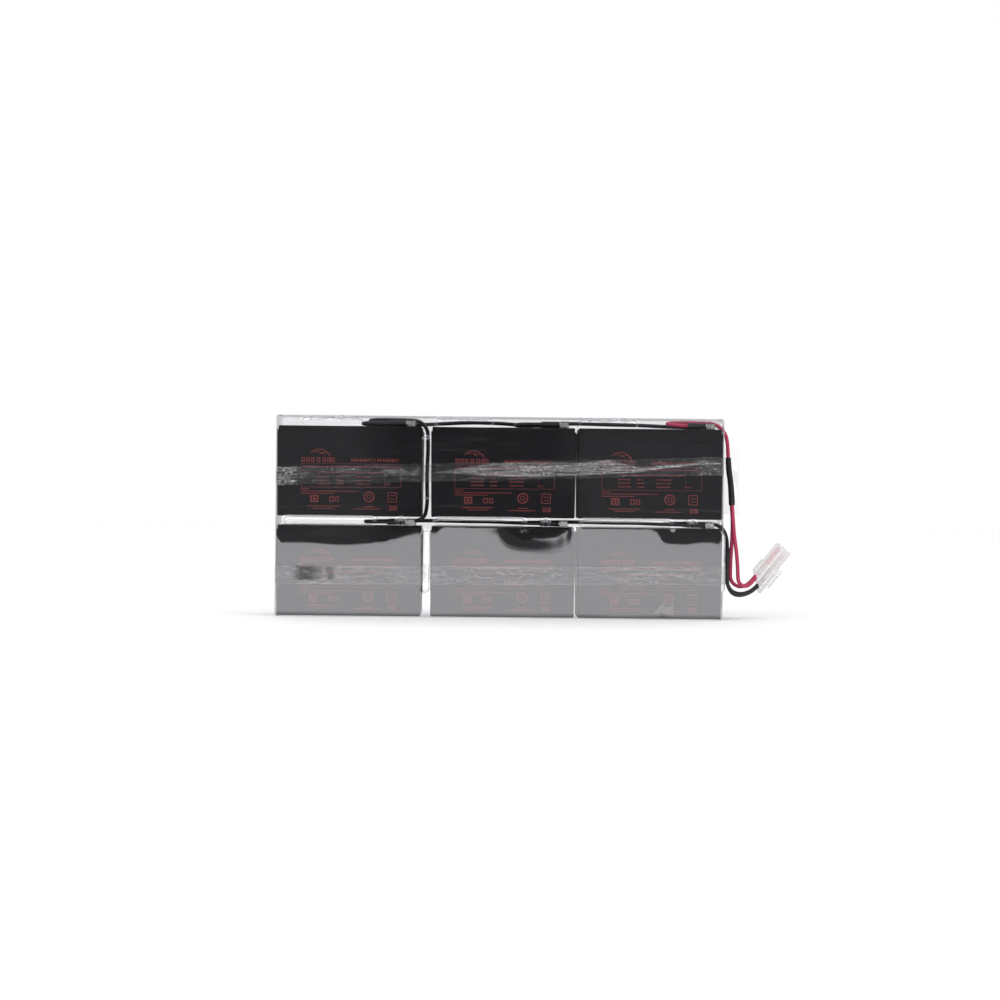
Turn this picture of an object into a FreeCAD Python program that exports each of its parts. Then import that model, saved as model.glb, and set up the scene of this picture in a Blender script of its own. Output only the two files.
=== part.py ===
"""Battery cartridge: six sealed blocks in series, held in a clear formed shell.

Frame: +X along the pack towards the pull tab and the plug, +Y from the front shell to
the rear shell, +Z up. The pack stands on its long edge, with the origin at the middle
of its footprint, tab included. All sizes are in millimetres.
"""
import FreeCAD, Part
import math
import os

import Sketcher
from FreeCAD import Placement, Rotation, Vector

doc = FreeCAD.newDocument("battery_cartridge")

# ---------------------------------------------------------------- sizes
SIZES = {
    # a block: a 12 V, 9 Ah sealed lead-acid battery
    "block_length": 151,
    "block_width": 65,
    "block_height": 94,
    "case_height": 79,
    "case_draft": 0.8,
    "case_corner": 2.5,
    "case_foot_round": 1.5,
    "seam_depth": 0.7,
    "seam_height": 0.6,
    "lid_step": 1.2,
    "lid_step_height": 4.5,
    "lid_edge_round": 0.6,
    "strip_length": 96,
    "strip_width": 30,
    "strip_thick": 1.4,
    "strip_fit": 0.15,
    # its blade terminals
    "blade_width": 6.35,
    "blade_thick": 0.8,
    "blade_rise": 5,
    "blade_hole": 1.9,
    "blade_inset": 12,
    "blade_spread": 21,
    "pocket_length": 15,
    "pocket_width": 11,
    "pocket_depth": 2,
    "foot_length": 9,
    "foot_width": 6,
    # what pushes on to a blade
    "receptacle_length": 8,
    "receptacle_wall": 0.7,
    "receptacle_height": 6.8,
    "receptacle_lift": 0.3,
    "blade_fit": 0.03,
    "wire_diameter": 4,
    "wire_rise": 4,
    "barrel_length": 8,
    "barrel_wall": 0.4,
    "barrel_fit": 0.05,
    "cover_wall": 0.7,
    "cover_fit": 0.25,
    "sleeve_length": 19,
    "sleeve_wall": 0.5,
    "sleeve_fit": 0.1,
    # the shell
    "wall": 0.8,
    "block_fit": 0.3,
    "foot_fit": 0.2,
    "wide_gap": 9,
    "narrow_gap": 2,
    "row_gap": 9.5,
    "head_room": 10.2,
    "shell_corner": 3,
    "shell_edge": 2.2,
    "parting_gap": 0.3,
    "well_depth": 8.4,
    "well_fit": 0.4,
    "row_pill_length": 96,
    "row_pill_start_left": 7,
    "row_pill_start_middle": 3.6,
    "row_pill_start_right": 3,
    "head_pill_length": 61,
    "head_pill_start_left": 25,
    "head_pill_start_middle": 4,
    "head_pill_start_right": 1,
    "upright_pill_length": 65,
    "upright_pill_rise_upper": 19,
    "upright_pill_rise_lower": 24.5,
    "post_start_left": 129,
    "post_start_middle": 120,
    "post_start_right": 120,
    "post_diameter": 8.6,
    "rib_height": 63,
    "rib_width": 15,
    "rib_out": 2.6,
    "rib_rise": 28,
    "rib_forward": 23,
    "notch_width": 10,
    "notch_height": 10,
    "notch_corner": 1.5,
    "red_notch_drop": 2.4,
    "black_notch_drop": 2.4,
    "tab_reach": 19.7,
    "tab_height": 68.5,
    "tab_rise": 110.5,
    "tab_corner": 4,
    # the tape round it
    "tape_thick": 0.1,
    "tape_gap": 0.05,
    "tape_width": 19,
    "tape_lift": 4.5,
    "upper_tape_rise": 153.4,
    "upper_tape_slant": 1.85,
    "lower_tape_rise": 44.5,
    "lower_tape_slant": 0.4,
    # the leads and their plug
    "lead_forward": 6.5,
    "red_exit_rise": 7.4,
    "black_exit_rise": 4.9,
    "exit_depth": 14,
    "exit_turn": 4,
    "lead_stand_off": 4.1,
    "red_splice_wall": 0.9,
    "red_splice_low": 120,
    "red_splice_high": 170,
    "black_splice_wall": 0.7,
    "black_splice_low": 60,
    "black_splice_high": 75,
    "plug_out": 33.6,
    "plug_rise": 33.7,
    "plug_tilt": 51.3,
    "plug_length": 53,
    "plug_size": 17,
    "plug_corner": 1.2,
    "plug_skirt_length": 30,
    "plug_skirt_wall": 1.6,
    "plug_heel": 15.6,
    "plug_latch_start": 10,
    "plug_latch_length": 23,
    "plug_latch_width": 8,
    "plug_latch_height": 4.2,
    "plug_latch_thick": 1.4,
    "plug_pitch": 8,
    "cavity_fit": 0.35,
    "wire_in_plug": 15.4,
    "wire_stand_off": 4,
    "contact_fit": 0.15,
    "contact_length": 12,
    "pin_diameter": 2.1,
    "pin_length": 20,
}

sheet = doc.addObject("Spreadsheet::Sheet", "Sizes")
for row, (alias, size) in enumerate(SIZES.items(), start=1):
    sheet.set(f"A{row}", alias)
    sheet.set(f"B{row}", str(size))
    sheet.setAlias(f"B{row}", alias)
doc.recompute()

# Places worked out from the sizes, kept as expressions so that they follow the sheet.
places = doc.addObject("App::VarSet", "Places")


def derive(name, expression):
    """Adds one worked-out number, which later expressions read as Places.name."""
    places.addProperty("App::PropertyFloat", name)
    places.setExpression(name, expression)


derive("tape_out", "Sizes.tape_thick + Sizes.tape_gap")
derive(
    "outer_length",
    "3 * Sizes.block_length + Sizes.wide_gap + Sizes.narrow_gap + 2 * (Sizes.block_fit + Sizes.wall)",
)
derive("half_depth", "Sizes.block_width / 2 + Sizes.block_fit + Sizes.wall")
derive("row_lower", "Sizes.wall + Sizes.foot_fit")
derive("lid_lower", "row_lower + Sizes.block_height")
derive("row_upper", "lid_lower + Sizes.row_gap")
derive("lid_upper", "row_upper + Sizes.block_height")
derive("outer_height", "lid_upper + Sizes.head_room + Sizes.wall")
derive("left", "(tape_out - Sizes.tab_reach) / 2 - outer_length / 2")
derive("right", "left + outer_length")
derive("edge_left", "left + Sizes.wall + Sizes.block_fit")
derive("edge_middle", "edge_left + Sizes.block_length + Sizes.wide_gap")
derive("edge_right", "edge_middle + Sizes.block_length + Sizes.narrow_gap")
derive("blade_place", "Sizes.block_length - Sizes.blade_inset")
derive("well_width", "Sizes.row_gap - 2 * Sizes.well_fit")
derive("upright_width", "Sizes.wide_gap - 2 * Sizes.well_fit")
derive("half_gap", "Sizes.parting_gap / 2")
derive("panel", "half_depth - Sizes.wall")
derive("cavity", "Sizes.wire_diameter + 2 * Sizes.cavity_fit")
derive("contact", "cavity - 2 * Sizes.contact_fit")
doc.recompute()

COLUMNS = ("left", "middle", "right")
ROWS = ("lower", "upper")
SIDES = {"front": -1, "rear": 1}


def number(expression):
    """The value that an expression has now."""
    found = places.evalExpression(str(expression))
    return float(getattr(found, "Value", found))


# ---------------------------------------------------------------- helpers
def place(made, x=0, y=0, z=0):
    """Binds an object's position to three expressions."""
    for axis, expression in zip("xyz", (x, y, z)):
        made.setExpression(f"Placement.Base.{axis}", str(expression))
    return made


def box(name, length, width, height, x=0, y=0, z=0):
    """A box with one corner at x, y, z."""
    made = doc.addObject("Part::Box", name)
    for side, expression in zip(("Length", "Width", "Height"), (length, width, height)):
        made.setExpression(side, str(expression))
    return place(made, x, y, z)


def rod(name, diameter, length, along, x=0, y=0, z=0):
    """A cylinder that starts at x, y, z and runs along one axis."""
    made = doc.addObject("Part::Cylinder", name)
    made.setExpression("Radius", f"({diameter}) / 2")
    made.setExpression("Height", str(length))
    made.Placement = Placement(Vector(), Rotation(Vector(0, 0, 1), along))
    return place(made, x, y, z)


def cut(name, base, tool):
    made = doc.addObject("Part::Cut", name)
    made.Base = base
    made.Tool = tool
    return made


def fuse(name, pieces):
    made = doc.addObject("Part::MultiFuse", name)
    made.Shapes = pieces
    made.Refine = True
    return made


def group(name, pieces):
    """Separate solids kept in one node."""
    made = doc.addObject("Part::Compound", name)
    made.Links = pieces
    return made


def sketch_on(body, name, role, offset):
    """An empty sketch on one of the body's own planes, moved along its normal."""
    sketch = body.newObject("Sketcher::SketchObject", name)
    plane = next(f for f in body.Origin.OriginFeatures if f.Role == role)
    sketch.AttachmentSupport = [(plane, "")]
    sketch.MapMode = "FlatFace"
    sketch.setExpression("AttachmentOffset.Base.z", str(offset))
    return sketch


def bind(sketch, kind, *where, to):
    """A size constraint whose value is an expression."""
    index = sketch.addConstraint(Sketcher.Constraint(kind, *where, number(to)))
    sketch.setExpression(f"Constraints[{index}]", str(to))


def smooth_loop(sketch, first, count):
    """Joins a run of lines and arcs end to end, each tangent to the next."""
    for index in range(count):
        after = first + (index + 1) % count
        sketch.addConstraint(Sketcher.Constraint("Tangent", first + index, 2, after, 1))


def arc(x, y, radius, start):
    """A quarter of a circle, from start quarters round."""
    circle = Part.Circle(Vector(x, y, 0), Vector(0, 0, 1), radius)
    return Part.ArcOfCircle(circle, start * math.pi / 2, (start + 1) * math.pi / 2)


def draw_rectangle(sketch, left, right, low, high, radius):
    """A rectangle with round corners. Its four sides and its radius are expressions."""
    x0, x1, y0, y1, r = (number(e) for e in (left, right, low, high, radius))
    first = sketch.GeometryCount
    pieces = [
        Part.LineSegment(Vector(x0 + r, y0, 0), Vector(x1 - r, y0, 0)),
        arc(x1 - r, y0 + r, r, 3),
        Part.LineSegment(Vector(x1, y0 + r, 0), Vector(x1, y1 - r, 0)),
        arc(x1 - r, y1 - r, r, 0),
        Part.LineSegment(Vector(x1 - r, y1, 0), Vector(x0 + r, y1, 0)),
        arc(x0 + r, y1 - r, r, 1),
        Part.LineSegment(Vector(x0, y1 - r, 0), Vector(x0, y0 + r, 0)),
        arc(x0 + r, y0 + r, r, 2),
    ]
    sketch.addGeometry(pieces, False)
    smooth_loop(sketch, first, len(pieces))
    for line, kind in zip((0, 2, 4, 6), ("Horizontal", "Vertical") * 2):
        sketch.addConstraint(Sketcher.Constraint(kind, first + line))
    for corner in (3, 5, 7):
        sketch.addConstraint(Sketcher.Constraint("Equal", first + 1, first + corner))
    bind(sketch, "Radius", first + 1, to=radius)
    bind(sketch, "DistanceX", -1, 1, first + 6, 1, to=left)
    bind(sketch, "DistanceX", -1, 1, first + 2, 1, to=right)
    bind(sketch, "DistanceY", -1, 1, first, 1, to=low)
    bind(sketch, "DistanceY", -1, 1, first + 4, 1, to=high)


def draw_slot(sketch, left, right, low, high):
    """A slot with full round ends, as long as its longer side."""
    x0, x1, y0, y1 = (number(e) for e in (left, right, low, high))
    lying = x1 - x0 > y1 - y0
    radius = f"(({high}) - ({low})) / 2" if lying else f"(({right}) - ({left})) / 2"
    r = number(radius)
    start = Vector(x0 + r, y0 + r, 0)
    end = Vector(x1 - r, y1 - r, 0)
    side = Vector(0, r, 0) if lying else Vector(-r, 0, 0)
    turn = 0 if lying else math.pi / 2
    normal = Vector(0, 0, 1)
    half = math.pi / 2
    first = sketch.GeometryCount
    pieces = [
        Part.LineSegment(start - side, end - side),
        Part.ArcOfCircle(Part.Circle(end, normal, r), turn - half, turn + half),
        Part.LineSegment(end + side, start + side),
        Part.ArcOfCircle(Part.Circle(start, normal, r), turn + half, turn + 3 * half),
    ]
    sketch.addGeometry(pieces, False)
    smooth_loop(sketch, first, len(pieces))
    sketch.addConstraint(Sketcher.Constraint("Equal", first + 1, first + 3))
    bind(sketch, "Radius", first + 1, to=radius)
    bind(sketch, "DistanceX", -1, 1, first + 3, 3, to=f"({left}) + ({radius})")
    bind(sketch, "DistanceY", -1, 1, first + 3, 3, to=f"({low}) + ({radius})")
    bind(sketch, "DistanceX", -1, 1, first + 1, 3, to=f"({right}) - ({radius})")
    bind(sketch, "DistanceY", -1, 1, first + 1, 3, to=f"({high}) - ({radius})")


def draw_circle(sketch, x, y, diameter):
    centre = Vector(number(x), number(y), 0)
    radius = number(f"({diameter}) / 2")
    index = sketch.addGeometry(Part.Circle(centre, Vector(0, 0, 1), radius), False)
    bind(sketch, "Diameter", index, to=diameter)
    bind(sketch, "DistanceX", -1, 1, index, 3, to=x)
    bind(sketch, "DistanceY", -1, 1, index, 3, to=y)


def extrude(body, kind, name, sketch, length, reverse=False):
    """A Pad or a Pocket of a sketch. It must change the body's volume."""
    before = body.Shape.Volume if not body.Shape.isNull() else 0.0
    feature = body.newObject(f"PartDesign::{kind}", name)
    feature.Profile = sketch
    feature.setExpression("Length", str(length))
    feature.Reversed = reverse
    doc.recompute()
    gained = body.Shape.Volume - before
    if (gained <= 0) if kind == "Pad" else (gained >= 0):
        raise ValueError(f"{body.Label}: {name} changed nothing")
    return feature


def round_edges(body, name, radius, chosen):
    """A fillet on the edges of the body's last feature that the test chooses."""
    base = body.Tip
    edges = base.Shape.Edges
    names = [f"Edge{i}" for i, e in enumerate(edges, start=1) if chosen(e)]
    if not names:
        raise ValueError(f"{body.Label}: {name} found no edge")
    fillet = body.newObject("PartDesign::Fillet", name)
    fillet.Base = (base, names)
    fillet.setExpression("Radius", str(radius))
    doc.recompute()
    return fillet


def lies_at(axis, level):
    """A test for edges that lie wholly at one level of an axis."""
    def test(edge):
        bounds = edge.BoundBox
        low = getattr(bounds, f"{axis}Min")
        high = getattr(bounds, f"{axis}Max")
        return abs(low - level) < 1e-3 and abs(high - level) < 1e-3
    return test


def new_body(label):
    body = doc.addObject("PartDesign::Body", label)
    body.Label = label
    parts[label] = body
    return body


def route(points):
    """Straight runs joined by tangent arcs, each as large as its two runs allow."""
    edges = []
    radii = []
    at = points[0]
    for before, corner, after in zip(points, points[1:], points[2:]):
        back = (before - corner).normalize()
        ahead = (after - corner).normalize()
        turn = math.pi - back.getAngle(ahead)
        trim = 0.45 * min((before - corner).Length, (after - corner).Length)
        radius = trim / math.tan(turn / 2)
        start = corner + back * trim
        end = corner + ahead * trim
        inward = (back + ahead).normalize()
        middle = corner + inward * (radius / math.cos(turn / 2) - radius)
        edges.append(Part.LineSegment(at, start).toShape())
        edges.append(Part.Arc(start, middle, end).toShape())
        radii.append(radius)
        at = end
    edges.append(Part.LineSegment(at, points[-1]).toShape())
    return Part.Wire(edges), radii


def swept(path, section):
    """A solid swept along a path from a section drawn square to its start."""
    tube = path.makePipeShell([section], True, False)
    return tube if tube.ShapeType == "Solid" else tube.Solids[0]


def ring_at(point, heading, diameter):
    circle = Part.Circle(point, heading, diameter / 2)
    return Part.Wire([circle.toShape()])


def add_shape(label, shape):
    made = doc.addObject("Part::Feature", label)
    made.Label = label
    made.Shape = shape
    made.Placement = Placement()
    parts[label] = made
    return made


def add_wire(label, points, diameter):
    """A wire of round section along a route, in a node of its own."""
    path, radii = route(points)
    shape = swept(path, ring_at(points[0], points[1] - points[0], diameter))
    plain = path.Length * math.pi * diameter**2 / 4
    runs = [(b - a).Length for a, b in zip(points, points[1:])]
    print(f"{label}: {path.Length:.0f} mm long, volume {shape.Volume / plain:.4f} of plain,")
    print(f"  radii {[round(r, 1) for r in radii]}, runs {[round(r) for r in runs]}")
    return add_shape(label, shape)


parts = {}


# ---------------------------------------------------------------- blocks
def make_case(label, x, z):
    """The moulded case, with the sealed plates and acid that fill it. It has draft."""
    body = new_body(label)
    mouth = sketch_on(body, f"{label}_mouth", "XY_Plane", "Sizes.case_height")
    draw_rectangle(
        mouth,
        "0",
        "Sizes.block_length",
        "-Sizes.block_width / 2",
        "Sizes.block_width / 2",
        "Sizes.case_corner",
    )
    walls = extrude(body, "Pad", f"{label}_walls", mouth, "Sizes.case_height", True)
    walls.setExpression("TaperAngle", "-atan(Sizes.case_draft / Sizes.case_height)")
    doc.recompute()
    round_edges(body, f"{label}_foot_round", "Sizes.case_foot_round", lies_at("Z", 0))
    place(body, x, 0, z)


def lid_outline(body, name, level, inset):
    sketch = sketch_on(body, name, "XY_Plane", level)
    draw_rectangle(
        sketch,
        inset,
        f"Sizes.block_length - {inset}",
        f"{inset} - Sizes.block_width / 2",
        f"Sizes.block_width / 2 - {inset}",
        "Sizes.case_corner",
    )
    return sketch


def make_lid(label, x, z):
    """The stepped lid over its seam groove, with its strip recess and two blade pockets."""
    body = new_body(label)
    seam = lid_outline(body, f"{label}_seam", "0", "Sizes.seam_depth")
    extrude(body, "Pad", f"{label}_seam_pad", seam, "Sizes.seam_height")
    skirt = lid_outline(body, f"{label}_skirt", "Sizes.seam_height", "0")
    skirt_height = (
        "Sizes.block_height - Sizes.case_height - Sizes.seam_height - Sizes.lid_step_height"
    )
    extrude(body, "Pad", f"{label}_skirt_pad", skirt, skirt_height)
    top = "Sizes.block_height - Sizes.case_height"
    step = lid_outline(body, f"{label}_step", f"{top} - Sizes.lid_step_height", "Sizes.lid_step")
    extrude(body, "Pad", f"{label}_step_pad", step, "Sizes.lid_step_height")
    round_edges(body, f"{label}_top_round", "Sizes.lid_edge_round", lies_at("Z", number(top)))
    recess = sketch_on(body, f"{label}_recess", "XY_Plane", top)
    half_length = "(Sizes.strip_length / 2 + Sizes.strip_fit)"
    half_width = "(Sizes.strip_width / 2 + Sizes.strip_fit)"
    draw_rectangle(
        recess,
        f"Sizes.block_length / 2 - {half_length}",
        f"Sizes.block_length / 2 + {half_length}",
        f"-{half_width}",
        half_width,
        "Sizes.case_corner",
    )
    extrude(body, "Pocket", f"{label}_recess_cut", recess, "Sizes.strip_thick")
    pockets = sketch_on(body, f"{label}_pockets", "XY_Plane", top)
    for side in SIDES.values():
        draw_rectangle(
            pockets,
            "Places.blade_place - Sizes.pocket_length / 2",
            "Places.blade_place + Sizes.pocket_length / 2",
            f"{side} * Sizes.blade_spread - Sizes.pocket_width / 2",
            f"{side} * Sizes.blade_spread + Sizes.pocket_width / 2",
            "Sizes.lid_edge_round",
        )
    extrude(body, "Pocket", f"{label}_pockets_cut", pockets, "Sizes.pocket_depth")
    place(body, x, 0, f"{z} + Sizes.case_height")


def make_vent_strip(label, x, z):
    """The plate that covers the valves, flush in the lid."""
    body = new_body(label)
    outline = sketch_on(body, f"{label}_outline", "XY_Plane", "0")
    draw_rectangle(
        outline,
        "-Sizes.strip_length / 2",
        "Sizes.strip_length / 2",
        "-Sizes.strip_width / 2",
        "Sizes.strip_width / 2",
        "Sizes.case_corner - Sizes.strip_fit",
    )
    extrude(body, "Pad", f"{label}_pad", outline, "Sizes.strip_thick")
    place(
        body,
        f"{x} + Sizes.block_length / 2",
        0,
        f"{z} + Sizes.block_height - Sizes.strip_thick",
    )


def make_terminals(label, x, z):
    """Two tinned blades, each with the foot that is soldered to its post."""
    blades = []
    for name, side in SIDES.items():
        middle_x = f"{x} + Places.blade_place"
        middle_y = f"{side} * Sizes.blade_spread"
        floor = f"{z} + Sizes.block_height - Sizes.pocket_depth"
        foot = box(
            f"{label}_{name}_foot",
            "Sizes.foot_length",
            "Sizes.foot_width",
            "Sizes.blade_thick",
            f"{middle_x} - Sizes.foot_length / 2",
            f"{middle_y} - Sizes.foot_width / 2",
            floor,
        )
        blade = box(
            f"{label}_{name}_blade",
            "Sizes.blade_width",
            "Sizes.blade_thick",
            "Sizes.pocket_depth + Sizes.blade_rise",
            f"{middle_x} - Sizes.blade_width / 2",
            f"{middle_y} - Sizes.blade_thick / 2",
            floor,
        )
        hole = rod(
            f"{label}_{name}_hole",
            "Sizes.blade_hole",
            "2 * Sizes.blade_thick",
            Vector(0, 1, 0),
            middle_x,
            f"{middle_y} - Sizes.blade_thick",
            f"{floor} + Sizes.pocket_depth + Sizes.blade_rise / 2",
        )
        joined = fuse(f"{label}_{name}_joined", [foot, blade])
        blades.append(cut(f"{label}_{name}", joined, hole))
    parts[label] = group(label, blades)


for row in ROWS:
    for column in COLUMNS:
        block = f"{row}_{column}"
        block_x = f"Places.edge_{column}"
        block_z = f"Places.row_{row}"
        make_case(f"{block}_case", block_x, block_z)
        make_lid(f"{block}_lid", block_x, block_z)
        make_vent_strip(f"{block}_vent_strip", block_x, block_z)
        make_terminals(f"{block}_terminals", block_x, block_z)

# ---------------------------------------------------------------- terminals' mates
derive("barrel_bore", "Sizes.wire_diameter + 2 * Sizes.barrel_fit")
derive("barrel_out", "barrel_bore + 2 * Sizes.barrel_wall")
derive("sleeve_bore", "barrel_out + 2 * Sizes.sleeve_fit")
derive("sleeve_out", "sleeve_bore + 2 * Sizes.sleeve_wall")
derive("slot_thick", "Sizes.blade_thick + 2 * Sizes.blade_fit")
derive("grip_thick", "slot_thick + 2 * Sizes.receptacle_wall")
derive("slot_width", "Sizes.blade_width + 2 * Sizes.blade_fit")
derive("cover_depth", "grip_thick + 2 * (Sizes.cover_fit + Sizes.cover_wall)")
derive("cover_length", "Sizes.receptacle_length + 2 * (Sizes.cover_fit + Sizes.cover_wall)")
doc.recompute()

WEST = Vector(-1, 0, 0)
EAST = Vector(1, 0, 0)


def make_receptacle(name, row, column, side):
    """A flag receptacle: its grip takes the blade from above, its barrel points left."""
    x = f"Places.edge_{column} + Places.blade_place"
    y = f"{SIDES[side]} * Sizes.blade_spread"
    lid = f"Places.lid_{row}"
    floor = f"{lid} - Sizes.pocket_depth + Sizes.blade_thick + Sizes.receptacle_lift"
    grip = box(
        f"{name}_grip",
        "Sizes.receptacle_length",
        "Places.grip_thick",
        "Sizes.receptacle_height",
        f"{x} - Sizes.receptacle_length / 2",
        f"{y} - Places.grip_thick / 2",
        floor,
    )
    slot = box(
        f"{name}_slot",
        "Places.slot_width",
        "Places.slot_thick",
        "Sizes.receptacle_height",
        f"{x} - Places.slot_width / 2",
        f"{y} - Places.slot_thick / 2",
        f"{floor} - Sizes.receptacle_wall",
    )
    mouth = f"{x} - Sizes.receptacle_length / 2"
    barrel = rod(
        f"{name}_barrel",
        "Places.barrel_out",
        "Sizes.barrel_length",
        WEST,
        mouth,
        y,
        f"{lid} + Sizes.wire_rise",
    )
    bore = rod(
        f"{name}_bore",
        "Places.barrel_bore",
        "Sizes.barrel_length",
        WEST,
        f"{mouth} - Sizes.barrel_wall",
        y,
        f"{lid} + Sizes.wire_rise",
    )
    solid = fuse(f"{name}_solid", [grip, barrel])
    return cut(name, cut(f"{name}_open", solid, slot), bore)


def make_cover(name, row, column, side):
    """A clear nylon cover, open below for the blade and at the left for the barrel."""
    x = f"Places.edge_{column} + Places.blade_place"
    y = f"{SIDES[side]} * Sizes.blade_spread"
    low = f"Places.lid_{row} + Sizes.cover_fit"
    height = "Sizes.receptacle_height + Sizes.cover_wall"
    outer = box(
        f"{name}_outer",
        "Places.cover_length",
        "Places.cover_depth",
        height,
        f"{x} - Places.cover_length / 2",
        f"{y} - Places.cover_depth / 2",
        low,
    )
    inner = box(
        f"{name}_inner",
        "Places.cover_length",
        "Places.cover_depth - 2 * Sizes.cover_wall",
        height,
        f"{x} - Places.cover_length / 2 - Sizes.cover_wall",
        f"{y} - Places.cover_depth / 2 + Sizes.cover_wall",
        f"{low} - Sizes.cover_wall",
    )
    way = rod(
        f"{name}_way",
        "Places.barrel_out + 2 * Sizes.cover_fit",
        "Places.cover_length / 2",
        WEST,
        f"{x} - Sizes.receptacle_length / 2 + Sizes.cover_fit",
        y,
        f"Places.lid_{row} + Sizes.wire_rise",
    )
    return cut(name, cut(f"{name}_hollow", outer, inner), way)


def make_sleeve(name, row, column, side):
    """Black shrink tube over the barrel and the first of the wire."""
    x = f"Places.edge_{column} + Places.blade_place - Places.cover_length / 2"
    y = f"{SIDES[side]} * Sizes.blade_spread"
    z = f"Places.lid_{row} + Sizes.wire_rise"
    gap = "Sizes.cover_fit"
    outer = rod(
        f"{name}_outer", "Places.sleeve_out", "Sizes.sleeve_length", WEST, f"{x} - {gap}", y, z
    )
    bore = rod(
        f"{name}_bore", "Places.sleeve_bore", "2 * Sizes.sleeve_length", WEST, x, y, z
    )
    return cut(name, outer, bore)


# Which terminals each jumper and lead joins: (row, column, side) at each of its ends.
ENDS = {
    "jumper_1": [("upper", "right", "rear"), ("upper", "middle", "front")],
    "jumper_2": [("upper", "middle", "rear"), ("upper", "left", "front")],
    "jumper_3": [("upper", "left", "rear"), ("lower", "left", "front")],
    "jumper_4": [("lower", "middle", "front"), ("lower", "left", "rear")],
    "jumper_5": [("lower", "right", "front"), ("lower", "middle", "rear")],
    "red_lead": [("upper", "right", "front")],
    "black_lead": [("lower", "right", "rear")],
}
covers = {row: [] for row in ROWS}
sleeves = {row: [] for row in ROWS}
for cable, ends in ENDS.items():
    grips = []
    for row, column, side in ends:
        where = f"{row}_{column}_{side}"
        grips.append(make_receptacle(f"{where}_receptacle", row, column, side))
        covers[row].append(make_cover(f"{where}_cover", row, column, side))
        sleeves[row].append(make_sleeve(f"{where}_sleeve", row, column, side))
    label = f"{cable}_receptacles" if len(ends) > 1 else f"{cable}_receptacle"
    parts[label] = group(label, grips)
for row in ROWS:
    parts[f"{row}_terminal_covers"] = group(f"{row}_terminal_covers", covers[row])
    parts[f"{row}_crimp_sleeves"] = group(f"{row}_crimp_sleeves", sleeves[row])
doc.recompute()

# ---------------------------------------------------------------- jumpers
wire = sheet.wire_diameter
spread = sheet.blade_spread
in_barrel = sheet.receptacle_length / 2 + 2 * sheet.barrel_wall
lid = {"lower": places.lid_lower, "upper": places.lid_upper}
terminal = {
    column: getattr(places, f"edge_{column}") + places.blade_place for column in COLUMNS
}


def run(row, column, stops):
    """Route points given from a terminal: left of it, across the pack, above the lid."""
    return [
        Vector(terminal[column] - back, across, lid[row] + rise)
        for back, across, rise in stops
    ]


level = sheet.wire_rise
rear_end = [(in_barrel, spread, level), (28, spread, level)]
front_end = [(in_barrel, -spread, level)]

# Jumpers 1 and 2 leave a rear terminal, run left over the lids between the wells and
# loop round to the front terminal of the next block.
to_next_front = [(36, 3, 3), (49, -3, 3), (52, -13, 3.5), (44, -spread, level)] + front_end
add_wire(
    "jumper_1",
    run("upper", "right", rear_end + [(46, 18, 4.4), (70, 11, 5.2), (100, 9, 5.4), (128, 6, 6)])
    + run("upper", "middle", [(2, 5, 6), (20, 5, 4.4)] + to_next_front),
    wire,
)
add_wire(
    "jumper_2",
    run("upper", "middle", rear_end + [(46, 18, 4.6), (70, 12, 6), (100, 11, 6.4), (128, 9, 4.6)])
    + run("upper", "left", [(2, 7, 2.8), (20, 5, 2.5)] + to_next_front),
    wire,
)

# Jumper 3 loops back over jumper 2, close under the shell's top, turns down the wide gap
# and loops under the row. Its play is what two jumpers, one on the other, leave free
# over a lid, and its slack what it leaves free on each side in the gap.
play = sheet.head_room - 2 * wire
crown = sheet.head_room - wire / 2 - 0.136 * play
slack = (sheet.wide_gap - wire) / 2
gap_x = places.edge_middle - sheet.wide_gap / 2
between = (places.row_upper + places.lid_lower) / 2
drop = [
    Vector(gap_x - 8, -1, places.lid_upper + crown - 0.9),
    Vector(gap_x, -2, places.lid_upper - 2),
    Vector(gap_x + 0.24 * slack, -3, places.lid_upper - 22),
    Vector(gap_x - 0.16 * slack, -3, places.lid_upper - 50),
    Vector(gap_x + 0.12 * slack, -3, places.row_upper + 14),
    Vector(gap_x - 0.8 * slack, -4, between + 4.5),
    Vector(gap_x - 12, -5, between - 0.5),
]
over_jumper_2 = [(42, 18, 6), (46, 9, crown - 0.3), (38, 1, crown), (22, -1, crown)]
under_row = [(10, -6, 5), (30, -6, 4.5), (46, -8, 4.2), (48, -17, 4), (38, -spread, level)]
add_wire(
    "jumper_3",
    run("upper", "left", rear_end + over_jumper_2 + [(4, -1, crown - 0.2)])
    + drop
    + run("lower", "left", under_row + front_end),
    wire,
)

# Jumpers 4 and 5 leave a front terminal and loop round to the rear one of the next block.
to_next_rear = [(38, 6, 4.4), (49, 10, 4.2), (49, 18, 4), (40, spread, level)]
rear_arrival = [(in_barrel, spread, level)]
for name, start, end in (("jumper_4", "middle", "left"), ("jumper_5", "right", "middle")):
    add_wire(
        name,
        run(
            "lower",
            start,
            [(in_barrel, -spread, level), (30, -spread, level), (52, -17, 4.4)]
            + [(76, -4, 5.2), (102, 6, 4.9), (130, 8, 5.4)],
        )
        + run("lower", end, [(4, 8, 5.2), (22, 6, 4.7)] + to_next_rear + rear_arrival),
        wire,
    )

# ---------------------------------------------------------------- leads
# The two inner leads loop back from their barrels. Each ends level, short of its notch
# in the right wall, and the outer lead carries on from that end.
right = places.right
forward = -sheet.lead_forward


def exit_points(row, rise):
    """Where an inner lead turns level, and where it hands on to the outer lead."""
    height = lid[row] + rise
    return [
        Vector(terminal["right"] - sheet.exit_turn, forward, height),
        Vector(right - sheet.exit_depth, forward, height),
    ]


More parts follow.
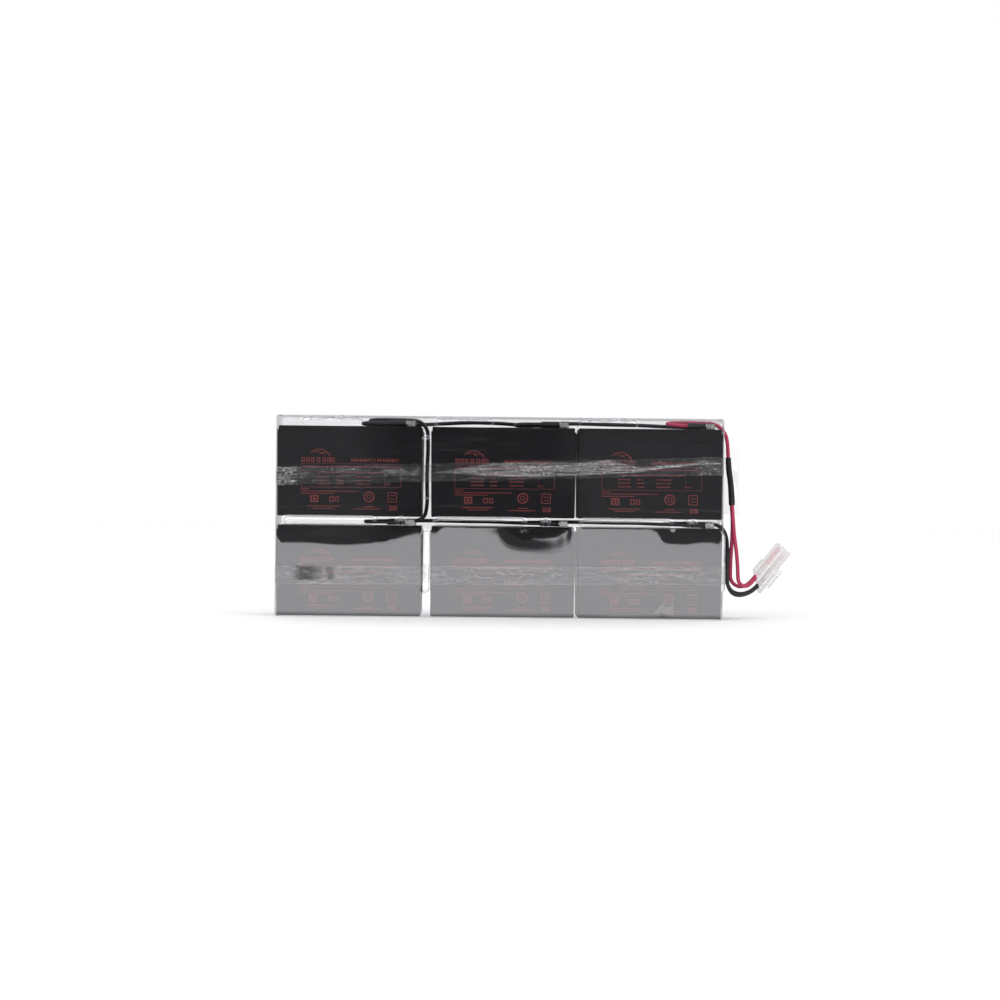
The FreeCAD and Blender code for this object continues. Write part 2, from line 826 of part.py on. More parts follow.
red_way_out = exit_points("upper", sheet.red_exit_rise)
black_way_out = exit_points("lower", sheet.black_exit_rise)
add_wire(
    "red_inner_lead",
    run(
        "upper",
        "right",
        [(in_barrel, -spread, level), (30, -spread, level), (41, -19, 5), (46, -13, 6.4)]
        + [(40, -7, 7.4), (24, -5, 7.8)],
    )
    + red_way_out,
    wire,
)
add_wire(
    "black_inner_lead",
    run(
        "lower",
        "right",
        [(in_barrel, spread, level), (30, spread, level), (41, 19, 4.4), (46, 12, 4.8)]
        + [(40, 5, 5), (24, -1, 5)],
    )
    + black_way_out,
    wire,
)

# The plug stands out from the shell on its stiff leads. In its own frame +X points to
# the mating end and +Z away from the latch, with the origin in the wires' face.
plug = Placement(
    Vector(right + sheet.plug_out, forward, sheet.plug_rise),
    Rotation(Vector(0, 1, 0), -sheet.plug_tilt),
)
half_pitch = sheet.plug_pitch / 2
half_skirt = sheet.plug_size / 2 + sheet.plug_skirt_wall


def into_plug(across, up):
    """The last two points of a lead: short of the plug's heel, then inside its cavity.

    The heel slopes from the latch's side forward to the far side.
    """
    cavity = Vector(0, across * half_pitch, up * half_pitch)
    heel = sheet.plug_heel * (half_skirt + up * half_pitch) / (2 * half_skirt)
    return [
        plug.multVec(cavity + Vector(heel - sheet.wire_stand_off, 0, 0)),
        plug.multVec(cavity + Vector(sheet.wire_in_plug, 0, 0)),
    ]


def beside(stops):
    """Route points down beside the right wall, where the leads lie against each other.

    The steps out, past what the stiff leads stand off the wall, and across from the
    notches are in wire diameters. The height is above the pack's base.
    """
    near = right + sheet.lead_stand_off
    return [
        Vector(near + out * wire, forward + across * wire, rise) for out, across, rise in stops
    ]


def out_to_plug(stops):
    """Route points further out, across from the notches and above the base."""
    near = right + sheet.lead_stand_off
    return [Vector(near + out, forward + across, rise) for out, across, rise in stops]


def over_the_edge(start, stops):
    """Points, out from the wall and down, that turn a level lead down through its notch."""
    return [Vector(right + out, forward, start.z - down) for out, down in stops]


red_outer = (
    [red_way_out[-1]]
    + over_the_edge(red_way_out[-1], [(-9.5, 0), (-3.5, 2.8), (2.2, 8), (5.2, 13.9)])
    + beside(
        [(0.625, 0.05, 184), (0.825, 0.125, 170.5), (0.975, 0.125, 157), (1.45, 0.125, 145.5)]
        + [(1.675, 0.125, 133), (1.825, 0.125, 120), (2.15, 0.225, 105), (2.15, 0.475, 89)]
        + [(1.975, 0.675, 73.6), (1.8, 0.775, 59), (1.75, 0.8, 47)]
    )
    + out_to_plug([(7.5, 3.3, 41), (11.8, 3.4, 35.7), (18.3, 3.6, 33.7), (25, 3.8, 36)])
    + into_plug(1, 1)
)
add_wire("red_outer_lead", red_outer, wire)

red_branch = (
    beside([(1.825, -0.975, 126), (1.875, -0.975, 117), (2.15, -0.95, 105), (2.45, -0.925, 89)])
    + out_to_plug(
        [(12.2, -3.8, 73.6), (13.6, -3.9, 59), (14.2, -4, 47.2), (14.4, -4, 41)]
        + [(17.2, -4, 36.2), (22.6, -4, 34.6), (27.4, -4, 37.3)]
    )
    + into_plug(-1, 1)
)
add_wire("red_branch_lead", red_branch, wire)

black_outer = (
    [black_way_out[-1]]
    + over_the_edge(black_way_out[-1], [(-9.5, 0), (-2.5, 1.3), (2.6, 5.3), (5.4, 10.9)])
    + beside(
        [(0.675, -0.175, 83), (0.75, -0.575, 73), (0.675, -0.775, 59.5)]
        + [(0.625, -0.8, 46), (0.95, -0.8, 34)]
    )
    + out_to_plug([(9.5, -3.3, 25.6), (20, -3.7, 25)])
    + into_plug(-1, -1)
)
add_wire("black_outer_lead", black_outer, wire)

black_branch = (
    beside([(0.7, 0.4, 67), (0.65, 0.35, 59), (0.625, 0.325, 48), (0.8, 0.375, 38.5)])
    + out_to_plug([(7, 2.5, 30.4), (14, 3.5, 26.6), (23, 3.9, 26.8)])
    + into_plug(1, -1)
)
add_wire("black_branch_lead", black_branch, wire)


def tube(points, diameter):
    path, _ = route(points)
    return swept(path, ring_at(points[0], points[1] - points[0], diameter))


def make_splice(label, lead, lobe):
    """Shrink tube over a lead and the end of its branch, cut square at both heights."""
    size = wire + 2 * getattr(sheet, f"{label}_splice_wall")
    low = getattr(sheet, f"{label}_splice_low")
    high = getattr(sheet, f"{label}_splice_high")
    reach = sheet.block_length
    layer = Part.makeBox(reach, reach, high - low, Vector(right - reach / 2, -reach / 2, low))
    halves = [tube(path, size).common(layer) for path in (lead, lobe)]
    sleeve = halves[0].fuse(halves[1])
    for name in ("outer", "branch"):
        sleeve = sleeve.cut(parts[f"{label}_{name}_lead"].Shape)
    add_shape(f"{label}_splice_sleeve", sleeve.removeSplitter())


# A lobe is the way the branch takes up to its lead, inside the sleeve.
red_lobe = beside(
    [(0.75, 0.05, 177), (0.85, -0.075, 166), (1.05, -0.425, 155)]
    + [(1.45, -0.8, 144), (1.675, -0.95, 134)]
)
black_lobe = beside([(0.75, -0.35, 78), (0.725, 0.15, 71)])
make_splice("red", red_outer[5:13], red_lobe + red_branch[:3])
make_splice("black", black_outer[5:10], black_lobe + black_branch[:3])


# ---------------------------------------------------------------- plug
CAVITIES = [(across, up) for across in (-1, 1) for up in (-1, 1)]


def tilt_with_plug(made):
    """Turns a piece from the plug's own frame into the pack's, bound to the sheet."""
    made.Placement = plug
    made.setExpression("Placement.Base.x", "Places.right + Sizes.plug_out")
    made.setExpression("Placement.Base.y", "-Sizes.lead_forward")
    made.setExpression("Placement.Base.z", "Sizes.plug_rise")
    made.setExpression("Placement.Rotation.Angle", "Sizes.plug_tilt")
    made.Placement.Rotation.Axis = Vector(0, -1, 0)
    return made


def behind_heel():
    """What the sloping heel takes off the housing's wires' end."""
    slope = Vector(sheet.plug_heel, 0, 2 * half_skirt)
    foot = Vector(0, -sheet.plug_length, -half_skirt)
    away = Vector(-sheet.plug_length, 0, 0)
    corners = [foot - slope, foot + slope * 2, foot + slope * 2 + away, foot - slope + away]
    face = Part.Face(Part.makePolygon(corners + corners[:1]))
    return face.extrude(Vector(0, 2 * sheet.plug_length, 0))


def make_plug_housing():
    """The nylon housing: a square nose, a wider skirt with a sloping heel, and a latch."""
    half = "Sizes.plug_size / 2"
    skirt = f"({half} + Sizes.plug_skirt_wall)"
    nose = box(
        "plug_nose", "Sizes.plug_length", "Sizes.plug_size", "Sizes.plug_size",
        0, f"-{half}", f"-{half}",
    )
    collar = box(
        "plug_skirt", "Sizes.plug_skirt_length", f"2 * {skirt}", f"2 * {skirt}",
        0, f"-{skirt}", f"-{skirt}",
    )
    rounded = doc.addObject("Part::Fillet", "plug_skirt_round")
    rounded.Base = collar
    doc.recompute()
    along = [i for i, e in enumerate(collar.Shape.Edges, 1) if e.BoundBox.XLength > 1]
    rounded.Edges = [(i, sheet.plug_corner, sheet.plug_corner) for i in along]
    low = f"-{skirt} - Sizes.plug_latch_height"
    arm = box(
        "plug_latch_arm", "Sizes.plug_latch_length", "Sizes.plug_latch_width",
        "Sizes.plug_latch_thick", "Sizes.plug_latch_start", "-Sizes.plug_latch_width / 2", low,
    )
    root = box(
        "plug_latch_root", "Sizes.plug_latch_length / 4", "Sizes.plug_latch_width",
        "Sizes.plug_latch_height + Sizes.plug_skirt_wall / 2",
        "Sizes.plug_latch_start + Sizes.plug_latch_length * 3 / 4 - Sizes.plug_skirt_wall",
        "-Sizes.plug_latch_width / 2", low,
    )
    solid = fuse("plug_solid", [nose, rounded, arm, root])
    behind = doc.addObject("Part::Feature", "plug_behind_heel")
    behind.Shape = behind_heel()
    body = cut("plug_heeled", solid, behind)
    cavities = [
        rod(
            f"plug_cavity_{i}", "Places.cavity", "2 * Sizes.plug_length", EAST,
            "-Sizes.plug_length / 2",
            f"{across} * Sizes.plug_pitch / 2",
            f"{up} * Sizes.plug_pitch / 2",
        )
        for i, (across, up) in enumerate(CAVITIES, start=1)
    ]
    housing = cut("plug_housing", body, fuse("plug_cavities", cavities))
    parts["plug_housing"] = tilt_with_plug(housing)


def make_plug_contacts():
    """Four crimped contacts, each a barrel behind a pin, just inside their cavities."""
    contacts = []
    for i, (across, up) in enumerate(CAVITIES, start=1):
        y = f"{across} * Sizes.plug_pitch / 2"
        z = f"{up} * Sizes.plug_pitch / 2"
        barrel = rod(
            f"contact_barrel_{i}", "Places.contact", "Sizes.contact_length", EAST,
            "Sizes.wire_in_plug", y, z,
        )
        pin = rod(
            f"contact_pin_{i}", "Sizes.pin_diameter", "Sizes.contact_length + Sizes.pin_length",
            EAST, "Sizes.wire_in_plug", y, z,
        )
        contacts.append(fuse(f"contact_{i}", [barrel, pin]))
    parts["plug_contacts"] = tilt_with_plug(group("plug_contacts", contacts))


make_plug_housing()
make_plug_contacts()
doc.recompute()


# ---------------------------------------------------------------- shell
def well_outlines(sketch, inset):
    """Every well of one face, drawn that much inside its outer wall."""
    for column in COLUMNS:
        edge = f"Places.edge_{column}"
        start = f"{edge} + Sizes.row_pill_start_{column}"
        low = "Places.lid_lower + Sizes.well_fit"
        draw_slot(
            sketch,
            f"{start} + {inset}",
            f"{start} + Sizes.row_pill_length - {inset}",
            f"{low} + {inset}",
            f"{low} + Places.well_width - {inset}",
        )
        start = f"{edge} + Sizes.head_pill_start_{column}"
        low = "Places.lid_upper + Sizes.well_fit"
        draw_slot(
            sketch,
            f"{start} + {inset}",
            f"{start} + Sizes.head_pill_length - {inset}",
            f"{low} + {inset}",
            f"{low} + Places.well_width - {inset}",
        )
        draw_circle(
            sketch,
            f"{edge} + Sizes.post_start_{column}",
            "Places.lid_lower + Sizes.row_gap / 2",
            f"Sizes.post_diameter - 2 * {inset}",
        )
    side = "Places.edge_middle - Sizes.wide_gap + Sizes.well_fit"
    for row in ROWS:
        low = f"Places.row_{row} + Sizes.upright_pill_rise_{row}"
        draw_slot(
            sketch,
            f"{side} + {inset}",
            f"{side} + Places.upright_width - {inset}",
            f"{low} + {inset}",
            f"{low} + Sizes.upright_pill_length - {inset}",
        )


def make_shell(label, front):
    """One formed half: a tray with wells pressed in between the blocks.

    The sketches' normal is -Y, so the front half grows along it and the rear one
    against it.
    """
    body = new_body(label)
    way = 1 if front else -1
    away = not front
    plane = "XZ_Plane"
    face = -way * places.half_depth

    outline = sketch_on(body, f"{label}_outline", plane, f"{way} * Places.half_gap")
    draw_rectangle(
        outline, "Places.left", "Places.right", "0", "Places.outer_height", "Sizes.shell_corner"
    )
    extrude(
        body, "Pad", f"{label}_block", outline, "Places.half_depth - Places.half_gap", away
    )
    round_edges(body, f"{label}_edge", "Sizes.shell_edge", lies_at("Y", face))

    if front:
        rib = sketch_on(body, f"{label}_rib", "YZ_Plane", "Places.right - Sizes.wall")
        rib_outline(rib, "0")
        extrude(body, "Pad", f"{label}_rib_pad", rib, "Sizes.rib_out + Sizes.wall")
        hollow = sketch_on(body, f"{label}_rib_hollow", "YZ_Plane", "Places.right - 2 * Sizes.wall")
        rib_outline(hollow, "Sizes.wall")
        extrude(
            body, "Pocket", f"{label}_rib_cut", hollow, "Sizes.rib_out + Sizes.wall", True
        )

    inside = sketch_on(body, f"{label}_inside", plane, f"{way} * Places.half_gap")
    draw_rectangle(
        inside,
        "Places.left + Sizes.wall",
        "Places.right - Sizes.wall",
        "Sizes.wall",
        "Places.outer_height - Sizes.wall",
        "Sizes.shell_corner - Sizes.wall",
    )
    depth = "Places.panel - Places.half_gap"
    extrude(body, "Pocket", f"{label}_hollow", inside, depth, front)
    panel = -way * places.panel
    round_edges(body, f"{label}_inner_edge", "Sizes.shell_edge - Sizes.wall", lies_at("Y", panel))

    bosses = sketch_on(body, f"{label}_bosses", plane, f"{way} * (Places.panel + Sizes.wall / 2)")
    well_outlines(bosses, "0")
    extrude(
        body, "Pad", f"{label}_boss_pad", bosses, "Sizes.well_depth + Sizes.wall / 2", front
    )
    wells = sketch_on(body, f"{label}_wells", plane, f"{way} * Places.half_depth")
    well_outlines(wells, "Sizes.wall")
    extrude(body, "Pocket", f"{label}_well_cut", wells, "Sizes.well_depth", away)

    if front:
        notches = sketch_on(body, f"{label}_notches", "YZ_Plane", "Places.right + Sizes.wall")
        for row, drop_size in (("upper", "red_notch_drop"), ("lower", "black_notch_drop")):
            low = f"Places.lid_{row} - Sizes.{drop_size}"
            draw_rectangle(
                notches,
                "-Sizes.notch_width",
                "Sizes.notch_corner",
                low,
                f"{low} + Sizes.notch_height",
                "Sizes.notch_corner",
            )
        extrude(body, "Pocket", f"{label}_notch_cut", notches, "3 * Sizes.wall")
    else:
        tab = sketch_on(body, f"{label}_tab", plane, f"{way} * Places.half_gap")
        draw_rectangle(
            tab,
            "Places.right - 2 * Sizes.tab_corner",
            "Places.right + Sizes.tab_reach",
            "Sizes.tab_rise",
            "Sizes.tab_rise + Sizes.tab_height",
            "Sizes.tab_corner",
        )
        extrude(body, "Pad", f"{label}_tab_pad", tab, "Sizes.wall", away)
        back = sketch_on(body, f"{label}_tab_back", plane, f"{way} * Places.half_gap")
        draw_rectangle(
            back,
            "Places.right - 3 * Sizes.tab_corner",
            "Places.right - Sizes.wall",
            "Sizes.tab_rise - Sizes.wall",
            "Sizes.tab_rise + Sizes.tab_height + Sizes.wall",
            "Sizes.wall",
        )
        extrude(body, "Pocket", f"{label}_tab_trim", back, "Sizes.wall", not away)
    return body


def rib_outline(sketch, inset):
    """The upright rib pressed out of the right wall, in front of the parting plane."""
    centre = "-Sizes.rib_forward"
    draw_slot(
        sketch,
        f"{centre} - Sizes.rib_width / 2 + {inset}",
        f"{centre} + Sizes.rib_width / 2 - {inset}",
        f"Sizes.rib_rise + {inset}",
        f"Sizes.rib_rise + Sizes.rib_height - {inset}",
    )


make_shell("front_shell", True)
make_shell("rear_shell", False)


# ---------------------------------------------------------------- tape
def slab(name, rise, slant):
    """The slanted layer that a band of tape lies in, twice as long and wide as the pack."""
    made = box(name, "2 * Places.outer_length", "2 * Places.outer_length", "Sizes.tape_width")
    made.Placement = Placement(Vector(), Rotation(Vector(0, -1, 0), number(slant)))
    made.setExpression("Placement.Rotation.Angle", slant)
    fall = f"Places.outer_length * tan({slant} * 1 deg)"
    return place(
        made,
        "-Places.outer_length",
        "-Places.outer_length",
        f"{rise} - Sizes.tape_width / 2 - {fall}",
    )


def tape_profile(out, bump):
    """A block as tall as the pack, tight round the shell and stretched over the rib."""
    x0 = places.left - out
    x1 = places.right + out
    y = places.half_depth + out
    r = sheet.shell_edge + out
    height = places.outer_height
    rounded = Part.makeBox(x1 - x0, 2 * y, height, Vector(x0, -y, 0))
    upright = [e for e in rounded.Edges if e.BoundBox.ZLength > height / 2]
    solid = rounded.makeFillet(r, upright)
    if not bump:
        return solid
    near = -sheet.rib_forward - sheet.rib_width / 2
    far = -sheet.rib_forward + sheet.rib_width / 2
    crown = x1 + sheet.rib_out
    corner = r * (1 - math.sqrt(0.5))
    tent = Part.makePolygon(
        [
            Vector(x1 - r, -y, 0),
            Vector(x1 - corner, -y + corner, 0),
            Vector(crown, near, 0),
            Vector(crown, far, 0),
            Vector(x1, far + sheet.tape_lift, 0),
            Vector(x1 - r, far + sheet.tape_lift, 0),
            Vector(x1 - r, -y, 0),
        ]
    )
    lifted = Part.Face(tent).extrude(Vector(0, 0, height))
    return solid.fuse(lifted).removeSplitter()


def make_tape(label, rise, slant, over_rib):
    """One band of clear tape round the shell, square to the floor but laid on a slant."""
    outer = tape_profile(places.tape_out, over_rib)
    inner = tape_profile(sheet.tape_gap, over_rib)
    tall = doc.addObject("Part::Feature", f"{label}_ring")
    tall.Shape = outer.cut(inner)
    layer = slab(f"{label}_layer", rise, slant)
    band = doc.addObject("Part::Common", f"{label}_band")
    band.Base = tall
    band.Tool = layer
    return band


upper_band = make_tape(
    "upper_tape", "Sizes.upper_tape_rise", "Sizes.upper_tape_slant", False
)
root = box(
    "tab_root",
    "Sizes.tab_reach",
    "Sizes.wall + 4 * Sizes.tape_gap",
    "Places.outer_height",
    "Places.right",
    "Places.half_gap - 2 * Sizes.tape_gap",
    0,
)
parts["upper_tape"] = cut("upper_tape", upper_band, root)
parts["lower_tape"] = make_tape(
    "lower_tape", "Sizes.lower_tape_rise", "Sizes.lower_tape_slant", True
)
doc.recompute()

# ---------------------------------------------------------------- checks and files
for made in doc.Objects:
    if "Invalid" in made.State or "Error" in made.State:
        raise ValueError(f"{made.Label} didn't build: {made.State}")
os.makedirs("parts", exist_ok=True)
for label, made in parts.items():
    made.Label = label
    shape = made.Shape
    if shape.isNull() or not shape.isValid() or not shape.Solids:
        raise ValueError(f"{label} isn't a valid solid")
    shape.exportStep(os.path.join("parts", f"{label}.step"))
    bounds = shape.BoundBox
    spans = [
        f"{low:.1f}..{high:.1f}"
        for low, high in (
            (bounds.XMin, bounds.XMax),
            (bounds.YMin, bounds.YMax),
            (bounds.ZMin, bounds.ZMax),
        )
    ]
    print(f"{label}: {len(shape.Solids)} solids, {shape.Volume / 1000:.2f} cm3, {' '.join(spans)}")
print(f"{len(parts)} nodes")
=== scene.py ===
# %% [markdown]
# # A battery cartridge in its clear shell
# The object is six sealed lead-acid blocks held by two clear formed half-shells. The
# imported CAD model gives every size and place, and this file adds the finishes, the thin
# films, the tape, the print and the free leads round it.

# %% The frame
import math
import random

import bmesh
import bpy
from mathutils import Matrix, Vector, geometry, noise


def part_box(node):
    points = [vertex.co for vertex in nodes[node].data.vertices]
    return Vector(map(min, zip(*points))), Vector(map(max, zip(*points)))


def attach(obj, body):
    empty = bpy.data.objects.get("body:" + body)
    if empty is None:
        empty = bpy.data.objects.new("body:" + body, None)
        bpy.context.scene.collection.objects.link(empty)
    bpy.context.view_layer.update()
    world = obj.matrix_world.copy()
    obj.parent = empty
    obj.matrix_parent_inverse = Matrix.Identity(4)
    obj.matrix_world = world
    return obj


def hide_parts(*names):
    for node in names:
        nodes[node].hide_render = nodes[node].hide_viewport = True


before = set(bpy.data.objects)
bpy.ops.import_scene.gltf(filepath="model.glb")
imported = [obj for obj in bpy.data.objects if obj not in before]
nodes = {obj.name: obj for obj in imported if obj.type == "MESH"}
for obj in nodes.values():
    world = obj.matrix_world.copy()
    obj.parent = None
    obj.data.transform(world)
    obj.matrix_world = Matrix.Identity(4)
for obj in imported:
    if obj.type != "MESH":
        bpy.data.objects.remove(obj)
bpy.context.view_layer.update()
MM = 0.001
ROWS = ("lower", "upper")
COLUMNS = ("left", "middle", "right")

# %% [markdown]
# Every place below is read from the frame. The shell's outer faces stand one wall and one
# fit off the blocks, so the blocks' boxes give the shell's edges.

# %% Places
SHELL_OFF = 1.1 * MM      # a 0.8 mm wall and a 0.3 mm fit
HAIR = 0.001 * MM         # keeps the top just inside the CAD model's box

first_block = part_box("lower_left_case")
last_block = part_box("lower_right_case")
shell_left = first_block[0].x - SHELL_OFF
shell_right = last_block[1].x + SHELL_OFF
shell_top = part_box("rear_shell")[1].z - HAIR
shell_half = -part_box("front_shell")[0].y
block_left = {c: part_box(f"lower_{c}_case")[0].x for c in COLUMNS}
block_floor = {r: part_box(f"{r}_left_case")[0].z for r in ROWS}
lid_top = {r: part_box(f"{r}_left_lid")[1].z for r in ROWS}
print("shell from", round(shell_left, 4), "to", round(shell_right, 4), "top", round(shell_top, 4))

# %% [markdown]
# The camera stands level, about three fifths of the way up the pack and two metres
# in front of it, with a lens long enough to keep the blocks' edges parallel. It leans by
# about half a degree, as a hand-held camera does.

# %% Camera
STAND = (-0.0199, -2.0427, 0.123)
HEADING, LEAN = -0.296, 0.588      # degrees about Z, and about the camera's own axis
SENSOR, LENS = 36, 69.6            # millimetres


def turned(degrees, axis):
    """A turn about one axis."""
    return Matrix.Rotation(math.radians(degrees), 4, axis)


def make_camera():
    """A new camera looks straight down, and a quarter turn about X levels it."""
    data = bpy.data.cameras.new("camera")
    data.sensor_width = SENSOR
    data.lens = LENS
    data.clip_end = 60
    made = bpy.data.objects.new("camera", data)
    bpy.context.scene.collection.objects.link(made)
    aim = turned(HEADING, "Z") @ turned(90, "X") @ turned(LEAN, "Z")
    made.matrix_world = Matrix.Translation(STAND) @ aim
    bpy.context.scene.camera = made
    return made


camera = make_camera()
print("camera at", tuple(round(c, 3) for c in camera.location))

# %% [markdown]
# Four stiff leads leave the pack: a red and a black one come out over notches in the
# right-hand wall, and each has a branch spliced to it under a shrink sleeve. A lead is a
# NURBS curve with a round bevel, because the control points then are the same few points
# that set the CAD tube, and the line between them is smooth. Blender multiplies the bevel
# by each point's radius, and counts that radius in the curve's box. So the radius is the
# wire's own, and the bevel is 1.

# %% Leads
WIRE = 4 * MM
LEAD_Y = -6.5              # in millimetres: the leads come out in front of the parting plane


def beside(stops):
    """Points given in millimetres: out from the right wall, across the pack, above the floor."""
    return [(shell_right + out * MM, across * MM, rise * MM) for out, across, rise in stops]


LEADS = {
    "red_outer_lead": beside(
        [(-14, LEAD_Y, 205.9), (-9.5, LEAD_Y, 205.9), (-3.5, LEAD_Y, 203.1), (2.2, LEAD_Y, 197.9)]
        + [(5.2, LEAD_Y, 192), (6.6, -6.3, 184), (7.4, -6, 170.5), (8, -6, 157)]
        + [(9.9, -6, 145.5), (10.8, -6, 133), (11.4, -6, 120), (12.7, -5.6, 105)]
        + [(12.7, -4.6, 89), (12, -3.8, 73.6), (11.3, -3.4, 59), (11.1, -3.3, 47)]
        + [(11.6, -3.2, 41), (15.9, -3.1, 35.7), (22.4, -2.9, 33.7), (29.1, -2.7, 36)]
        + [(34.78, -2.5, 41.58), (40.11, -2.5, 48.22)]
    ),
    "red_branch_lead": beside(
        [(11.4, -10.4, 126), (11.6, -10.4, 117), (12.7, -10.3, 105), (13.9, -10.2, 89)]
        + [(16.3, -10.3, 73.6), (17.7, -10.4, 59), (18.3, -10.5, 47.2), (18.5, -10.5, 41)]
        + [(21.3, -10.5, 36.2), (26.7, -10.5, 34.6), (31.5, -10.5, 37.3)]
        + [(34.78, -10.5, 41.58), (40.11, -10.5, 48.22)]
    ),
    "black_outer_lead": beside(
        [(-14, LEAD_Y, 99.9), (-9.5, LEAD_Y, 99.9), (-2.5, LEAD_Y, 98.6), (2.6, LEAD_Y, 94.6)]
        + [(5.4, LEAD_Y, 89), (6.8, -7.2, 83), (7.1, -8.8, 73), (6.8, -9.6, 59.5)]
        + [(6.6, -9.7, 46), (7.9, -9.7, 34), (13.6, -9.8, 25.6), (24.1, -10.2, 25)]
        + [(37.17, -10.5, 31.75), (46.35, -10.5, 43.22)]
    ),
    "black_branch_lead": beside(
        [(6.9, -4.9, 67), (6.7, -5.1, 59), (6.6, -5.2, 48), (7.3, -5, 38.5), (11.1, -4, 30.4)]
        + [(18.1, -3, 26.6), (27.1, -2.6, 26.8), (37.17, -2.5, 31.75), (46.35, -2.5, 43.22)]
    ),
}


def make_lead(name, stops):
    """One lead as a round bevelled curve, in place of the CAD model's tube."""
    data = bpy.data.curves.new(name, "CURVE")
    data.dimensions = "3D"
    data.bevel_depth = 1.0
    data.bevel_resolution = 6
    data.resolution_u = 10
    data.use_fill_caps = True
    line = data.splines.new("NURBS")
    line.points.add(len(stops) - 1)
    for point, stop in zip(line.points, stops):
        point.co = (*stop, 1)
        point.radius = WIRE / 2
    line.order_u = 3
    line.use_endpoint_u = True
    made = bpy.data.objects.new(f"{name}_wire", data)
    bpy.context.scene.collection.objects.link(made)
    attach(made, "root")
    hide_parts(name)
    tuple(stops[0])
    return made


leads = {name: make_lead(name, stops) for name, stops in LEADS.items()}
print("leads:", ", ".join(leads))

# %% [markdown]
# Colours are written as sRGB hex, the way a paint chart gives them, and the shaders want
# linear light. One function does that, and one more adds a node with its settings and links.

# %% Material helpers
def linear(hex_colour):
    """An sRGB hex colour as linear red, green, blue and alpha."""
    shares = [int(hex_colour[i : i + 2], 16) / 255 for i in (1, 3, 5)]
    return [c / 12.92 if c <= 0.04045 else ((c + 0.055) / 1.055) ** 2.4 for c in shares] + [1.0]


def add_node(tree, kind, inputs=None, **settings):
    """Adds a shader node of a kind.

    inputs gives each input, by name or number, a value, a socket or a node. A node stands
    for the first output that it has in use.
    """
    made = tree.nodes.new(f"ShaderNode{kind}")
    for name, value in settings.items():
        setattr(made, name, value)
    for key, value in (inputs or {}).items():
        if isinstance(value, bpy.types.Node):
            value = next(output for output in value.outputs if output.enabled)
        if isinstance(value, bpy.types.NodeSocket):
            tree.links.new(value, made.inputs[key])
        else:
            made.inputs[key].default_value = value
    return made


def new_material(name):
    """An empty material and its node tree."""
    material = bpy.data.materials.new(name)
    material.use_nodes = True
    material.node_tree.nodes.clear()
    return material, material.node_tree


def surfaced(material, shader):
    """Makes a shader the material's surface, and gives the material back."""
    add_node(material.node_tree, "OutputMaterial", {"Surface": shader})
    return material


def place_of(tree, per_metre):
    """A surface's place in the frame, scaled so that one pattern unit is 1 / per_metre."""
    coordinates = add_node(tree, "TexCoord")
    mapping = add_node(tree, "Mapping", {"Vector": coordinates.outputs["Object"]})
    mapping.inputs["Scale"].default_value = (
        per_metre if hasattr(per_metre, "__len__") else (per_metre,) * 3
    )
    return mapping


def dress(piece, material):
    """Gives a piece its material."""
    piece.data.materials.clear()
    piece.data.materials.append(material)
    return piece


def finished(shapes, name):
    """Turns mesh-editing data into a mesh of that name."""
    mesh = bpy.data.meshes.new(name)
    shapes.to_mesh(mesh)
    shapes.free()
    return mesh


def add_piece(name, mesh, *stands_for):
    """Puts a finished mesh in the scene, riding on the pack."""
    made = bpy.data.objects.new(name, mesh)
    bpy.context.scene.collection.objects.link(made)
    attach(made, "root")
    if stands_for:
        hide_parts(*stands_for)
    return made


print("helpers ready")

# %% [markdown]
# The blocks' cases and lids are injection-moulded ABS, black right through. The mould is
# spark-eroded, which leaves a satin grain of about 0.4 mm that breaks up the highlights.
# Handling leaves broad soft smears that are a touch smoother than the rest.

# %% Moulded ABS
def moulded_abs():
    """Black ABS with the mould's 0.4 mm grain, and handling smears some 45 mm wide."""
    material, tree = new_material("moulded_black_abs")
    grain = add_node(tree, "TexNoise", {"Vector": place_of(tree, 2500), "Scale": 1.0, "Detail": 3.0})
    smear = add_node(tree, "TexNoise", {"Vector": place_of(tree, 22), "Scale": 1.0, "Detail": 2.0})
    rough = add_node(tree, "MapRange", {"Value": smear, "To Min": 0.42, "To Max": 0.58})
    shade = add_node(
        tree,
        "Mix",
        {"Factor": smear, 6: linear("#0e0d10"), 7: linear("#151317")},
        data_type="RGBA",
    )
    bump = add_node(tree, "Bump", {"Height": grain, "Strength": 0.25, "Distance": 0.00003})
    surface = add_node(
        tree,
        "BsdfPrincipled",
        {
            "Base Color": shade,
            "Roughness": rough,
            "IOR": 1.54,
            "Specular IOR Level": 0.12,
            "Normal": bump,
        },
    )
    return surfaced(material, surface)


black_abs = moulded_abs()
for name, piece in nodes.items():
    if name.endswith(("_case", "_lid", "_vent_strip")):
        dress(piece, black_abs)
print("blocks dressed in", black_abs.name)

# %% [markdown]
# Each block carries one screen-printed field on its front. The ink is a real layer, a few
# hundredths of a millimetre thick, so it is made as thin tiles just proud of the case.
# The wording is left as bars of the right height and length, and its marks as plain
# shapes: a ring, a tile, a frame. All of them are set out in millimetres, as a printer
# would, from the block's lower left corner.

# %% Print
INK = 0.04 * MM
# The case's front and head in millimetres. At its foot the front is 0.8 mm further back.
BLOCK_FRONT = 32.5
CASE_HEAD = 79
CASE_LEAN = 0.8 / CASE_HEAD
RING_STEPS = 28


def case_front(z):
    """Where the case's front is at a height, as y in metres."""
    return (-BLOCK_FRONT + CASE_LEAN * (CASE_HEAD - z)) * MM


